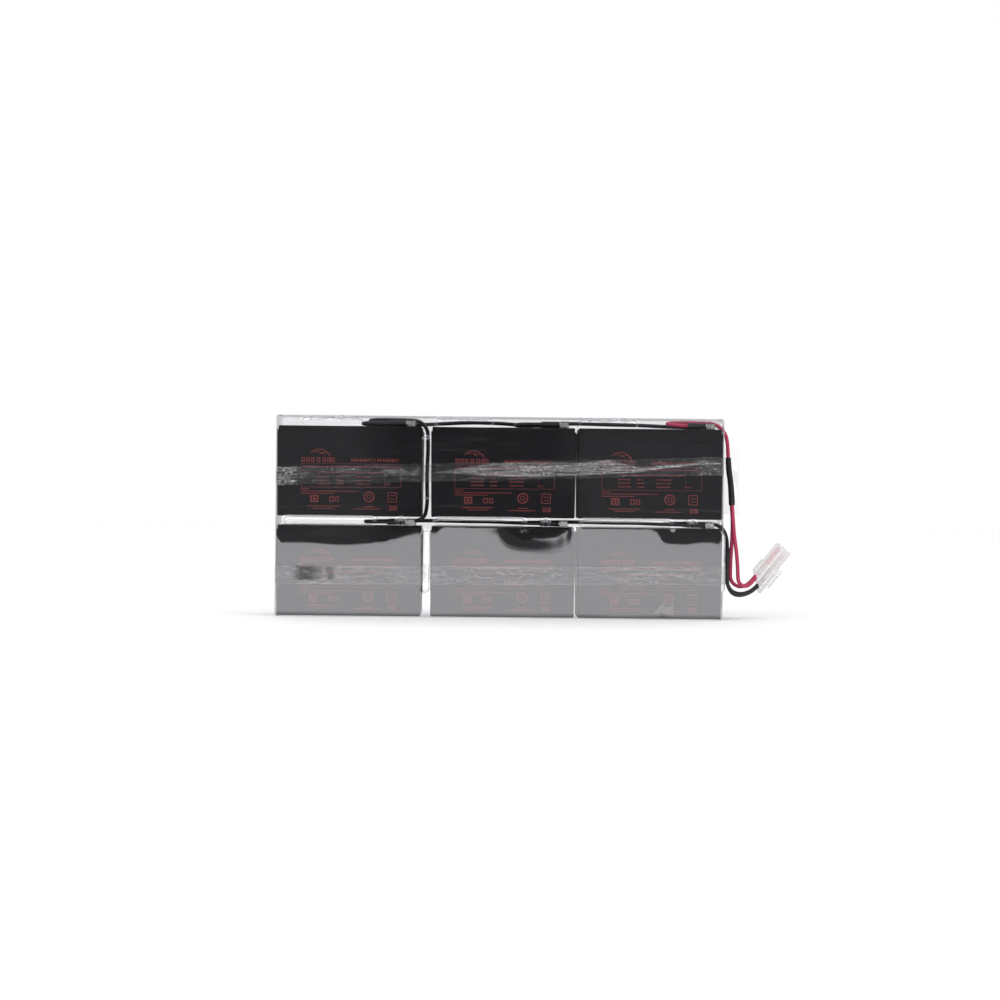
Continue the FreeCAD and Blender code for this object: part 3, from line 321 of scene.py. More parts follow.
def add_tile(shapes, x0, x1, z0, z1):
    """One ink tile, given in millimetres from the block's lower left corner."""
    corners = [(x0, z0), (x1, z0), (x1, z1), (x0, z1)]
    back = [shapes.verts.new((x * MM, case_front(z), z * MM)) for x, z in corners]
    front = [shapes.verts.new((x * MM, case_front(z) - INK, z * MM)) for x, z in corners]
    shapes.faces.new(front)
    for i in range(4):
        shapes.faces.new((back[i], back[(i + 1) % 4], front[(i + 1) % 4], front[i]))


def add_words(shapes, x0, x1, z0, z1, shortest, longest, space, draw):
    """A line of print as bars, one a word."""
    x = x0
    while x < x1 - shortest:
        end = min(x1, x + draw.uniform(shortest, longest))
        add_tile(shapes, x, end, z0, z1)
        x = end + space


def add_frame(shapes, x0, x1, z0, z1, line):
    """The four sides of an empty box, in print."""
    add_tile(shapes, x0, x1, z0, z0 + line)
    add_tile(shapes, x0, x1, z1 - line, z1)
    add_tile(shapes, x0, x0 + line, z0 + line, z1 - line)
    add_tile(shapes, x1 - line, x1, z0 + line, z1 - line)


def add_ring(shapes, x, z, outer, inner, start=0.0, turn=360.0):
    """A flat ring of ink, or a part of one, leaning with the case."""
    rim = []
    for i in range(RING_STEPS + 1):
        angle = math.radians(start + turn * i / RING_STEPS)
        pair = []
        for r in (inner, outer):
            at_x, at_z = x + r * math.cos(angle), z + r * math.sin(angle)
            pair.append(shapes.verts.new((at_x * MM, case_front(at_z) - INK, at_z * MM)))
        rim.append(pair)
    for a, b in zip(rim, rim[1:]):
        shapes.faces.new((a[0], a[1], b[1], b[0]))


def print_mesh():
    """Arcs and boxes for a mark, bars for words, a ruled table and a row of plain signs."""
    draw = random.Random(4)
    shapes = bmesh.new()
    add_ring(shapes, 44, 57.5, 12.2, 11.5, 22, 118)
    add_ring(shapes, 42, 58.5, 8.6, 8.1, 40, 75)
    add_ring(shapes, 50, 57.5, 8.8, 8.3, 50, 80)
    for x in (25.5, 30.5, 35.5, 41.5, 47.5, 52.5, 56.5):
        add_frame(shapes, x, x + 3.4, 56.2, 60.8, 0.8)
    for i in range(17):
        x = 77.5 + 3 * i
        add_tile(shapes, x, x + 0.8, 56.6, 60.4)
        add_tile(shapes, x + 0.8, x + 1.9, 58.2 + draw.uniform(-1.5, 1.4), 59)
    add_tile(shapes, 25, 129, 54.4, 54.7)
    add_words(shapes, 27, 128, 50.6, 52, 0.9, 2.6, 0.8, draw)
    add_words(shapes, 44, 110, 45, 46.3, 0.9, 2.6, 0.8, draw)
    for z in (41, 37.2, 33.4):
        add_words(shapes, 42, 56, z - 0.5, z + 0.6, 1.2, 3, 0.9, draw)
        add_words(shapes, 62, 69, z - 0.5, z + 0.6, 1.2, 3, 0.9, draw)
        add_words(shapes, 82, 98, z - 0.5, z + 0.6, 1.2, 3, 0.9, draw)
    add_words(shapes, 112, 118, 32.9, 34, 1.2, 2, 0.9, draw)
    add_tile(shapes, 25, 129, 30, 30.3)
    add_tile(shapes, 128.7, 129, 30.3, 54.4)
    add_tile(shapes, 25, 25.3, 30.3, 54.4)
    add_tile(shapes, 112, 112.2, 30.3, 48.6)
    add_words(shapes, 25, 34, 27.8, 28.6, 1, 3, 0.6, draw)
    add_words(shapes, 25, 84, 25.5, 26.3, 1, 4, 0.6, draw)
    add_words(shapes, 25, 60, 23.1, 23.9, 1, 4, 0.6, draw)
    add_frame(shapes, 35, 43.4, 14.5, 21.5, 1.3)
    add_tile(shapes, 37.8, 40.6, 16.9, 19)
    add_frame(shapes, 55, 59.4, 15, 20.4, 0.8)
    add_frame(shapes, 61, 65, 15, 20.4, 0.8)
    add_ring(shapes, 96, 20.5, 5.6, 4.6)
    add_ring(shapes, 96, 20.5, 2.6, 1.9)
    add_frame(shapes, 115.4, 125, 15, 25.4, 0.7)
    add_tile(shapes, 118, 122.6, 18, 18.7)
    add_tile(shapes, 118, 122.6, 21.4, 22.1)
    add_words(shapes, 32, 66, 10, 10.9, 1, 4, 0.6, draw)
    add_words(shapes, 38, 60, 7.5, 8.4, 1, 4, 0.6, draw)
    add_words(shapes, 91, 101, 9.6, 10.5, 1, 3, 0.6, draw)
    add_words(shapes, 80, 109, 7.2, 8.1, 1, 4, 0.6, draw)
    add_frame(shapes, 117, 120.4, 6.4, 11.2, 0.9)
    add_frame(shapes, 121.6, 125, 6.4, 11.2, 0.9)
    return finished(shapes, "block_print")


ink_field = print_mesh()
print("print:", len(ink_field.polygons), "faces a block")

# %% [markdown]
# The ink is brick red and dull. It was pulled through a screen, so it is thicker in some
# places than in others, and where it is thin the black case darkens it. One mesh serves all
# six blocks.

# %% Ink
def printed_ink():
    """Brick-red screen ink, dull, worn a little thin in places 1.4 mm across."""
    material, tree = new_material("screen_printed_ink")
    wear = add_node(tree, "TexNoise", {"Vector": place_of(tree, 700), "Scale": 1.0, "Detail": 4.0})
    shade = add_node(
        tree,
        "Mix",
        {"Factor": wear, 6: linear("#571d1d"), 7: linear("#93302d")},
        data_type="RGBA",
    )
    surface = add_node(tree, "BsdfPrincipled", {"Base Color": shade, "Roughness": 0.6, "IOR": 1.5})
    return surfaced(material, surface)


ink = printed_ink()
ink_field.materials.append(ink)
for row in ROWS:
    for column in COLUMNS:
        field = bpy.data.objects.new(f"{row}_{column}_print", ink_field)
        bpy.context.scene.collection.objects.link(field)
        field.location = (block_left[column], 0, block_floor[row])
        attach(field, "root")
print("printed in", ink.name)

# %% [markdown]
# The shell is thermoformed from one clear PET sheet a side. A sheet has two faces, each
# of which reflects about a twentieth of the light, and they are so close that one surface
# with both reflections reads the same. Schlick's formula gives the rise towards grazing
# angles, and it is the same from both sides, which a Fresnel node isn't.

# %% Clear sheet
SHEET_MIRROR = 0.105       # two faces of PET, head on


def mirror_share(tree, head_on):
    """How much of the light a thin sheet reflects, by Schlick's formula."""
    facing = add_node(tree, "LayerWeight", {"Blend": 0.5})
    fifth = add_node(tree, "Math", {0: facing.outputs["Facing"], 1: 5.0}, operation="POWER")
    share = add_node(tree, "Math", {0: fifth, 1: 1 - head_on, 2: head_on}, operation="MULTIPLY_ADD")
    return share


def clear_sheet(name, tint, gloss_roughness, haze, head_on=SHEET_MIRROR, edge=0.6, milk="#cbcbce"):
    """Clear plastic: light goes through, is mirrored, or is scattered where it is hazy.

    A sheet seen along its face is a long way through, so it turns grey there.
    """
    material, tree = new_material(name)
    through = add_node(tree, "BsdfTransparent", {"Color": linear(tint)})
    mirror = add_node(
        tree,
        "BsdfAnisotropic",
        {"Color": linear("#ffffff"), "Roughness": gloss_roughness},
    )
    sheet = add_node(tree, "MixShader", {0: mirror_share(tree, head_on), 1: through, 2: mirror})
    facing = add_node(tree, "LayerWeight", {"Blend": 0.5})
    along = add_node(tree, "Math", {0: facing.outputs["Facing"], 1: 3.5}, operation="POWER")
    grey = add_node(
        tree,
        "Math",
        {0: along, 1: edge, 2: haze(tree)},
        operation="MULTIPLY_ADD",
        use_clamp=True,
    )
    scatter = add_node(tree, "BsdfDiffuse", {"Color": linear(milk)})
    whole = add_node(tree, "MixShader", {0: grey, 1: sheet, 2: scatter})
    return surfaced(material, whole)


def faint_scuffs(tree):
    """Scuffs from handling, 5 mm high and 110 mm long, over a very thin even haze."""
    streaks = add_node(
        tree,
        "TexNoise",
        {"Vector": place_of(tree, (9, 40, 190)), "Scale": 1.0, "Detail": 6.0, "Roughness": 0.65},
    )
    scuffs = add_node(
        tree,
        "MapRange",
        {"Value": streaks, "From Min": 0.56, "From Max": 0.86, "To Min": 0.002, "To Max": 0.055},
    )
    return scuffs


def drawn_thin(tree):
    """Where a well is drawn deep over the lids the sheet is milky, in 33 x 11 mm clouds."""
    cloud = add_node(tree, "TexNoise", {"Vector": place_of(tree, (30, 30, 90)), "Scale": 1.0})
    share = add_node(tree, "MapRange", {"Value": cloud, "To Min": 0.2, "To Max": 0.45})
    return share


pet_sheet = clear_sheet("clear_pet_sheet", "#fcfcfd", 0.018, faint_scuffs)
milky_sheet = clear_sheet("clear_pet_sheet_drawn", "#fcfcfd", 0.05, drawn_thin)
print("clear sheet ready")

# %% [markdown]
# A formed sheet is never quite flat: it sags a tenth or two of a millimetre between wells.
# That is too little to see as a shape, but it bends what the sheet mirrors, and gives the
# edge of the bright floor in it a slow wave. So the sag is made in the mesh, as a bulge
# along the gap between the two rows whose size changes from place to place.

# %% Sag of the sheet
GAP_HEIGHT = 105 * MM      # the bulge is greatest here, by the gap between the rows
BULGE_REACH = 25 * MM      # and fades out over this, up and down
HELD_RIM = 9 * MM          # the sheet is stiff within this of its bent edges
RIPPLE = 0.035             # millimetres, in waves some 50 mm long
# The bulge's size at places from the shell's left edge, in millimetres; outwards is positive.
BULGE = [
    (0, -0.21), (12, -0.125), (36, -0.128), (67, -0.15), (77, -0.145), (93, -0.118),
    (109, -0.086), (124, -0.034), (135, 0.0), (145, 0.02), (166, 0.03), (178, 0.11),
    (204, 0.18), (231, 0.17), (247, 0.03), (262, 0.0), (280, -0.04), (292, -0.04),
    (302, 0.02), (310, 0.12), (338, 0.18), (380, 0.16), (394, 0.1), (406, -0.07),
    (424, -0.1), (444, -0.085), (456, -0.1), (463, -0.2), (466, -0.2),
]


def eased(share):
    """A share, kept from 0 to 1, that starts and ends gently."""
    share = min(1.0, max(0.0, share))
    return share * share * (3 - 2 * share)


def bulge_at(x):
    """The bulge's size at a place along the pack, smoothly between the listed ones."""
    x = (x - shell_left) / MM
    for (x0, a0), (x1, a1) in zip(BULGE, BULGE[1:]):
        if x <= x1:
            return a0 + (a1 - a0) * eased((x - x0) / (x1 - x0))
    return BULGE[-1][1]


# Small dents beside the pills' right ends: along, up, reach and depth in millimetres.
DENTS = ((259.4, 88.6, 3.4, 0.08), (413.8, 90.2, 3.4, 0.06))
# The tape holds the sheet back: past a free rise it only comes a little further out.
FREE_RISE = 0.1
LAST_RISE = 0.042


def sag(x, z):
    """How far the sheet stands inwards of its mean plane, in metres."""
    reach = (z - GAP_HEIGHT) / BULGE_REACH
    total = -bulge_at(x) * math.exp(-reach * reach)
    total += RIPPLE * noise.noise(Vector((x * 18, 0.3, z * 26)))
    for along, up, wide, deep in DENTS:
        far = math.hypot((x - shell_left) / MM - along, z / MM - up) / wide
        total += deep * math.exp(-far * far)
    proud = -total - FREE_RISE
    if proud > 0:
        total = -FREE_RISE - LAST_RISE * (1 - math.exp(-proud / LAST_RISE))
    edge = min(x - shell_left, shell_right - x, z, shell_top - z)
    return total * MM * eased(edge / HELD_RIM)


print("sag at the middle:", round(sag(0, GAP_HEIGHT) / MM, 3), "mm")

# %% [markdown]
# The shell is drawn as loops of points. A well is pill-shaped, so its loop is kept as points
# on its spine and the way outwards from each. Then one well can be drawn at any inset with
# the same count of points, and two insets can be joined by faces. The shell's own outline
# is a rectangle with round corners.

# %% Loops
END_POINTS = 20            # steps round one round end of a pill
SPINE_STEP = 4 * MM        # and between its ends
RIM_STEP = 5 * MM          # between the corners of the shell's outline


def pill_stations(x0, x1, z0, z1):
    """A pill as (spine point, outward direction) pairs, all round it."""
    lying = x1 - x0 > z1 - z0
    radius = min(x1 - x0, z1 - z0) / 2
    if lying:
        ends = [Vector((x1 - radius, z0 + radius)), Vector((x0 + radius, z0 + radius))]
        start = -math.pi / 2
    else:
        ends = [Vector((x0 + radius, z1 - radius)), Vector((x0 + radius, z0 + radius))]
        start = 0.0
    straight = int((ends[0] - ends[1]).length / SPINE_STEP)
    stations = []
    for turn, (end, other) in enumerate((ends, ends[::-1])):
        for i in range(END_POINTS + 1):
            angle = start + math.pi * (turn + i / END_POINTS)
            stations.append((end, Vector((math.cos(angle), math.sin(angle)))))
        for i in range(1, straight):
            stations.append((end.lerp(other, i / straight), stations[-1][1]))
    if straight == 0:
        stations = stations[:END_POINTS] + stations[END_POINTS + 1 : -1]
    return stations, radius


def loop_at(stations, radius, inset):
    """The pill's outline moved inwards by an inset, and outwards where it is negative."""
    return [spine + way * (radius - inset) for spine, way in stations]


def rounded_outline(x0, x1, z0, z1, radius):
    """A rectangle with round corners, as points all round it."""
    corners = [
        (x1 - radius, z0 + radius, -90), (x1 - radius, z1 - radius, 0),
        (x0 + radius, z1 - radius, 90), (x0 + radius, z0 + radius, 180),
    ]
    points = []
    for i, (x, z, start) in enumerate(corners):
        for j in range(7):
            angle = math.radians(start + 15 * j)
            points.append(Vector((x + radius * math.cos(angle), z + radius * math.sin(angle))))
        x_next, z_next, start_next = corners[(i + 1) % 4]
        angle = math.radians(start_next)
        goal = Vector((x_next + radius * math.cos(angle), z_next + radius * math.sin(angle)))
        count = int((goal - points[-1]).length / RIM_STEP)
        origin = points[-1]
        points += [origin.lerp(goal, k / count) for k in range(1, count)]
    return points


def stitch(mesh, low, high, skip=()):
    """Faces between two loops of vertices with the same count."""
    made = []
    for i in range(len(low)):
        if i in skip:
            continue
        j = (i + 1) % len(low)
        corners = [low[i], low[j], high[j], high[i]]
        if len(set(corners)) == 4:
            made.append(mesh.faces.new(corners))
    return made


print("a post's loop has", len(pill_stations(0, 1, 0, 1)[0]), "points")

# %% [markdown]
# The flat sheet between the wells has their mouths cut out of it. A boolean cut would leave
# long thin faces, and they would show in what the sheet mirrors. So the outline, the mouths
# and a close grid of points are triangulated together, and the grid lets the sheet sag.

# %% Cutting the sheet
def inside(point, loops):
    """Whether a point lies in the outline and in none of the holes, by the even-odd rule."""
    crossings = 0
    for loop in loops:
        for a, b in zip(loop, loop[1:] + loop[:1]):
            if (a.y > point.y) != (b.y > point.y):
                if point.x < a.x + (b.x - a.x) * (point.y - a.y) / (b.y - a.y):
                    crossings += 1
    return crossings % 2 == 1


def near_hole(point, holes, clear):
    """Whether a point is in a hole's box, or closer to it than clear."""
    return any(
        abs(point.x - mid.x) < half.x + clear and abs(point.y - mid.y) < half.y + clear
        for mid, half in holes
    )


GRID_STEP = 2.6 * MM
GRID_CLEAR = 0.8 * MM      # grid points closer to a hole would make slivers


def face_grid(x0, x1, z0, z1):
    """Points in staggered rows over a rectangle."""
    nx, nz = int((x1 - x0) / GRID_STEP), int((z1 - z0) / GRID_STEP)
    return [
        Vector((x0 + (x1 - x0) * (i + 0.5 * (j % 2)) / nx, z0 + (z1 - z0) * j / nz))
        for i in range(1, nx)
        for j in range(1, nz)
    ]


def triangulate(outline, holes, grid):
    """A flat sheet inside an outline and outside its holes, with grid points inside it."""
    boxes = []
    for loop in holes:
        low = Vector((min(p.x for p in loop), min(p.y for p in loop)))
        high = Vector((max(p.x for p in loop), max(p.y for p in loop)))
        boxes.append(((low + high) / 2, (high - low) / 2))
    loops = [outline] + holes
    free = [p for p in grid if inside(p, [outline]) and not near_hole(p, boxes, GRID_CLEAR)]
    points = []
    edges = []
    for loop in loops:
        start = len(points)
        points += loop
        edges += [(start + i, start + (i + 1) % len(loop)) for i in range(len(loop))]
    points += free
    found = geometry.delaunay_2d_cdt(points, edges, [], 0, 1e-7)
    corners, faces = found[0], found[2]
    kept = []
    for face in faces:
        centre = sum((corners[i] for i in face), Vector((0, 0))) / len(face)
        if inside(centre, loops):
            kept.append(face)
    return corners, kept


print("grid step", round(GRID_STEP / MM, 2), "mm")

# %% [markdown]
# Wells are pressed into both half-shells to keep the blocks apart: long pills in the gap
# between the rows and over the lids, upright pills in the wide gap, and round posts. Each
# is a stack of loops that shrink from a rounded mouth to a flat bottom. Over the lids the
# bottoms are drawn thin and milky, so they take the shell's second material.

# %% Wells
WELL_DEPTH = 8.4 * MM
WELL_WIDTH = 8.7 * MM
ROW_WELL = 96 * MM         # length of the wells between the rows
HEAD_WELL = 61 * MM        # length of the wells over the lids
POST = 4.3 * MM            # radius of the round posts
WELL_RISE = 0.4 * MM       # a well starts this far above the lids
SIDE_WELL = (8.2 * MM, 65 * MM)    # width and height of the upright wells
SIDE_OFF = 8.6 * MM        # from their left edge to the middle blocks
MOUTH = 1.5 * MM           # round at a well's mouth
MOUTH_OVER = 1.1 * MM      # how far the mouth stands outside the well
DRAFT = 0.35 * MM          # a well's walls lean this much, so that it leaves its mould
FOOT_ROUND = 1.2 * MM      # round at a well's bottom
FLAT_RIM = 0.4 * MM        # a flat ring round each bend keeps its shading off the flat sheet


def well_places():
    """Every well as a box on the face: left, right, foot and head.

    For each column, the numbers say how far right of its blocks' left edge its two wells
    start and its post stands, in millimetres.
    """
    wells = []
    row_foot = lid_top["lower"] + WELL_RISE
    head_foot = lid_top["upper"] + WELL_RISE
    for column, row_start, head_start, post in (
        ("left", 7, 25, 129),
        ("middle", 3.6, 4, 120),
        ("right", 3, 1, 120),
    ):
        edge = block_left[column]
        start = edge + row_start * MM
        wells.append((start, start + ROW_WELL, row_foot, row_foot + WELL_WIDTH))
        start = edge + head_start * MM
        wells.append((start, start + HEAD_WELL, head_foot, head_foot + WELL_WIDTH))
        x, z = edge + post * MM, row_foot + WELL_WIDTH / 2
        wells.append((x - POST, x + POST, z - POST, z + POST))
    side = block_left["middle"] - SIDE_OFF
    for row, rise in (("upper", 19), ("lower", 24.5)):
        foot = block_floor[row] + rise * MM
        wells.append((side, side + SIDE_WELL[0], foot, foot + SIDE_WELL[1]))
    return wells


def well_profile():
    """A well's section, as (inset, depth) pairs from its mouth to its bottom."""
    section = [(-MOUTH_OVER - FLAT_RIM, 0.0)]
    for i in range(5):
        turn = math.radians(22.5 * i)
        section.append((MOUTH * math.sin(turn) - MOUTH_OVER, MOUTH * (1 - math.cos(turn))))
    wall_foot = section[-1][0] + DRAFT
    section.append((wall_foot, WELL_DEPTH - FOOT_ROUND))
    for i in range(1, 5):
        turn = math.radians(22.5 * i)
        inset = wall_foot + FOOT_ROUND * (1 - math.cos(turn))
        section.append((inset, WELL_DEPTH - FOOT_ROUND * (1 - math.sin(turn))))
    section.append((wall_foot + 2.2 * FOOT_ROUND, WELL_DEPTH))
    return section


def add_wells(mesh, put):
    """Adds the wells and returns their mouths, as flat loops for the sheet's holes."""
    mouths = []
    for x0, x1, z0, z1 in well_places():
        stations, radius = pill_stations(x0, x1, z0, z1)
        over_lids = z0 > lid_top["upper"]
        before = None
        for inset, depth in well_profile():
            flat = loop_at(stations, radius, inset)
            ring = [put(mesh, p, depth) for p in flat]
            if before is None:
                mouths.append(flat)
            else:
                for face in stitch(mesh, before, ring):
                    face.material_index = int(over_lids and depth > WELL_DEPTH - 2 * MOUTH)
            before = ring
        bottom = mesh.faces.new(before)
        bottom.material_index = int(over_lids)
    return mouths


print("wells a side:", len(well_places()))

# %% [markdown]
# The front half's right wall has a rib pressed out of it, which stiffens it beside the
# leads, and two notches that the leads come out of. So it isn't a plain strip like the
# other walls: it is cut from its own outline, and the rib stands on it as a stack of loops.

# %% Wall with the rib
EDGE = 2.2 * MM            # round between the face and the walls
HALF_GAP = 0.15 * MM       # each half stops short of the parting plane
NOTCH_DEPTH, NOTCH_ROUND = 10 * MM, 1.5 * MM
NOTCHES = ((196.1 * MM, 206.1 * MM), (92.6 * MM, 102.6 * MM))     # foot and head of each
RIB = (-30.5 * MM, -15.5 * MM, 28 * MM, 91 * MM)                  # front, back, foot, head
# The rib's section, as inset and height over the wall, in millimetres.
RIB_SECTION = [(-0.6, 0.0), (0.1, 0.15), (0.5, 0.8), (0.7, 1.7), (1.1, 2.3), (2.0, 2.6)]


def notched_wall(mesh, outline_z, front_y):
    """The front half's right wall, with its two notches and the mouth of its rib."""
    edge_y, r = -HALF_GAP, NOTCH_ROUND
    points = [Vector((front_y, z)) for z in outline_z]
    points.append(Vector((edge_y, outline_z[-1])))
    for foot, head in NOTCHES:
        points.append(Vector((edge_y, head)))
        for start, z in ((90, head - r), (180, foot + r)):
            for i in range(5):
                turn = math.radians(start + 22.5 * i)
                y = r - NOTCH_DEPTH + r * math.cos(turn)
                points.append(Vector((y, z + r * math.sin(turn))))
        points.append(Vector((edge_y, foot)))
    points.append(Vector((edge_y, outline_z[0])))
    stations, radius = pill_stations(*RIB)
    before = None
    for inset, out in RIB_SECTION:
        flat = loop_at(stations, radius, inset * MM)
        ring = [mesh.verts.new((shell_right + out * MM, p.x, p.y)) for p in flat]
        if before is None:
            mouth = flat
        else:
            stitch(mesh, before, ring)
        before = ring
    mesh.faces.new(before)
    corners, faces = triangulate(points, [mouth], [])
    made = [mesh.verts.new((shell_right, p.x, p.y)) for p in corners]
    for face in faces:
        mesh.faces.new([made[i] for i in face])


print("rib from", round(RIB[2] / MM), "to", round(RIB[3] / MM), "mm above the floor")

# %% [markdown]
# The tab that the pack is pulled out by is a strip of the rear sheet, left standing out
# past the right wall. It is one flat face with an edge of the sheet's thickness, because
# a face of this material already stands for both sides of the sheet.

# %% Pull tab
TAB_FOOT, TAB_HEAD, TAB_OUT, TAB_ROUND = 110.5 * MM, 179 * MM, 19.7 * MM, 4 * MM
TAB_ROOT = 0.4 * MM        # it starts this far inside the wall
SHEET = 0.8 * MM


def add_tab(mesh):
    """The pull tab: a strip of the rear sheet left standing out past the right wall."""
    root_x, turn_x = shell_right - TAB_ROOT, shell_right + TAB_OUT - TAB_ROUND
    outline = [Vector((root_x, TAB_FOOT)), Vector((turn_x, TAB_FOOT))]
    for z, start in ((TAB_FOOT + TAB_ROUND, -90), (TAB_HEAD - TAB_ROUND, 0)):
        for i in range(1, 9):
            turn = math.radians(start + 11.25 * i)
            way = Vector((math.cos(turn), math.sin(turn)))
            outline.append(Vector((turn_x, z)) + way * TAB_ROUND)
    outline.append(Vector((root_x, TAB_HEAD)))
    rings = [[mesh.verts.new((p.x, y, p.y)) for p in outline] for y in (HALF_GAP, HALF_GAP + SHEET)]
    stitch(mesh, rings[0], rings[1])
    mesh.faces.new(rings[0])


print("tab", round((TAB_HEAD - TAB_FOOT) / MM, 1), "mm wide")

# %% [markdown]
# One half-shell is one mesh: the face sheet with its wells, the round edge, and the walls
# down to the parting plane. The walls follow the face's own outline, bent round step by
# step, so that no seam shows. Both halves come from one function.

# %% Half-shells
CORNER = 3 * MM            # round of the outline's corners
BEND_STEPS = 6
SAME_PLACE = 0.002 * MM    # corners closer than this are one


def half_shell(name, side):
    """side is -1 for the front half and 1 for the rear one."""
    mesh = bmesh.new()

    def put(mesh, p, depth):
        sunk = sag(p.x, p.y) * (1 - depth / WELL_DEPTH)
        return mesh.verts.new((p.x, side * (shell_half - depth - sunk), p.y))

    def loop_in(inset):
        ends = (shell_left + inset, shell_right - inset, inset, shell_top - inset)
        return rounded_outline(*ends, CORNER - inset)

    mouths = add_wells(mesh, put)
    outline = loop_in(EDGE + FLAT_RIM)
    grid = face_grid(shell_left + EDGE, shell_right - EDGE, EDGE, shell_top - EDGE)
    corners, faces = triangulate(outline, mouths, grid)
    made = [put(mesh, p, 0.0) for p in corners]
    for face in faces:
        mesh.faces.new([made[i] for i in face])

    before = made[: len(outline)]
    loop = loop_in(EDGE)
    ring = [put(mesh, p, 0.0) for p in loop]
    stitch(mesh, before, ring)
    before = ring
    on_right = [p.x > shell_right - EDGE - SAME_PLACE for p in loop]
    for i in range(1, BEND_STEPS + 1):
        turn = math.radians(90 * i / BEND_STEPS)
        y = shell_half - EDGE * (1 - math.cos(turn))
        loop = loop_in(EDGE * (1 - math.sin(turn)))
        ring = [mesh.verts.new((p.x, side * y, p.y)) for p in loop]
        stitch(mesh, before, ring)
        before = ring

    ring = [mesh.verts.new((p.x, side * HALF_GAP, p.y)) for p in loop]
    if side < 0:
        ahead = on_right[1:] + on_right[:1]
        straight = [k for k, both in enumerate(zip(on_right, ahead)) if all(both)]
        rises = sorted(loop[k].y for k in straight) + [max(loop[k + 1].y for k in straight)]
        notched_wall(mesh, rises, -(shell_half - EDGE))
        stitch(mesh, before, ring, skip=straight)
    else:
        stitch(mesh, before, ring)
        add_tab(mesh)
    bmesh.ops.remove_doubles(mesh, verts=mesh.verts, dist=SAME_PLACE)
    bmesh.ops.recalc_face_normals(mesh, faces=mesh.faces)
    for face in mesh.faces:
        face.smooth = True
    return finished(mesh, name)


for name, side in (("front_shell", -1), ("rear_shell", 1)):
    shell = add_piece(f"{name}_sheet", half_shell(name, side), name)
    dress(shell, pet_sheet)
    shell.data.materials.append(milky_sheet)
    print(shell.name, len(shell.data.polygons), "faces")

# %% [markdown]
# Two bands of clear packing tape hold the halves together. A band runs right round, laid
# a little askew, and the lower one is stretched over the rib like a tent. A cloth
# simulation could wrap it, but its wrinkles would fall anywhere. So the way round the
# shell is a list of points, and each has a row of corners across the band. Noise pushes
# them out into wrinkles on the right wall and over the rib. On the other sides the band is
# pulled flat, and its creases are left to the film's material.

# %% Tape bands
TAPE_WIDTH = 19 * MM
TAPE_OFF = 0.12 * MM       # how far the band's path is off the shell
TAPE_LIMIT = 0.145 * MM    # the band is pulled in to this on the front, back and left
WALL_FADE = 20 * MM        # the front's pattern fades out over this, up to the parting plane
PLAIN_CRUSH, PLAIN_MILK = 0.3, 0.15    # how crushed and white it is past there
TENT_FOOT = -11 * MM       # where a band comes down on the wall again behind the rib
ROWS_ACROSS = 24


def band_path(over_rib):
    """The way round the shell in plan, as points."""
    x0, x1, y = shell_left - TAPE_OFF, shell_right + TAPE_OFF, shell_half + TAPE_OFF
    r = EDGE + TAPE_OFF
    corner = []
    for cx, cy, start in (
        (x1 - r, -y + r, -90), (x1 - r, y - r, 0), (x0 + r, y - r, 90), (x0 + r, -y + r, 180)
    ):
        corner.append(
            [
                Vector((cx + r * math.cos(t), cy + r * math.sin(t)))
                for t in (math.radians(start + 15 * i) for i in range(7))
            ]
        )
    if over_rib:
        crown = x1 + RIB_SECTION[-1][1] * MM
        tent = [(crown, RIB[0]), (crown, (RIB[0] + RIB[1]) / 2), (crown, RIB[1])]
        corner[0] = corner[0][:4] + [Vector(stop) for stop in tent + [(x1, TENT_FOOT)]]
    path = []
    for points, after in zip(corner, corner[1:] + corner[:1]):
        path += points
        gap = (after[0] - points[-1]).length
        count = max(1, int(gap / (2 * MM)))
        path += [points[-1].lerp(after[0], i / count) for i in range(1, count)]
    return path


def wrinkle(u, v, crumple):
    """How far a band stands off at a place on it, in metres along and across it.

    Long waves of 60 x 5 mm carry fine ones of 17 x 2.4 mm, and the crushed places have
    folds of 6 x 4 mm.
    """
    long = noise.noise(Vector((u * 16, v * 210, 3.1))) * 0.05
    fine = noise.noise(Vector((u * 60, v * 420, 7.7))) * 0.018
    crushed = abs(noise.noise(Vector((u * 170, v * 240, 1.3)))) * 0.35 * crumple
    return (0.05 + abs(long) + fine * 0.5 + crushed) * MM


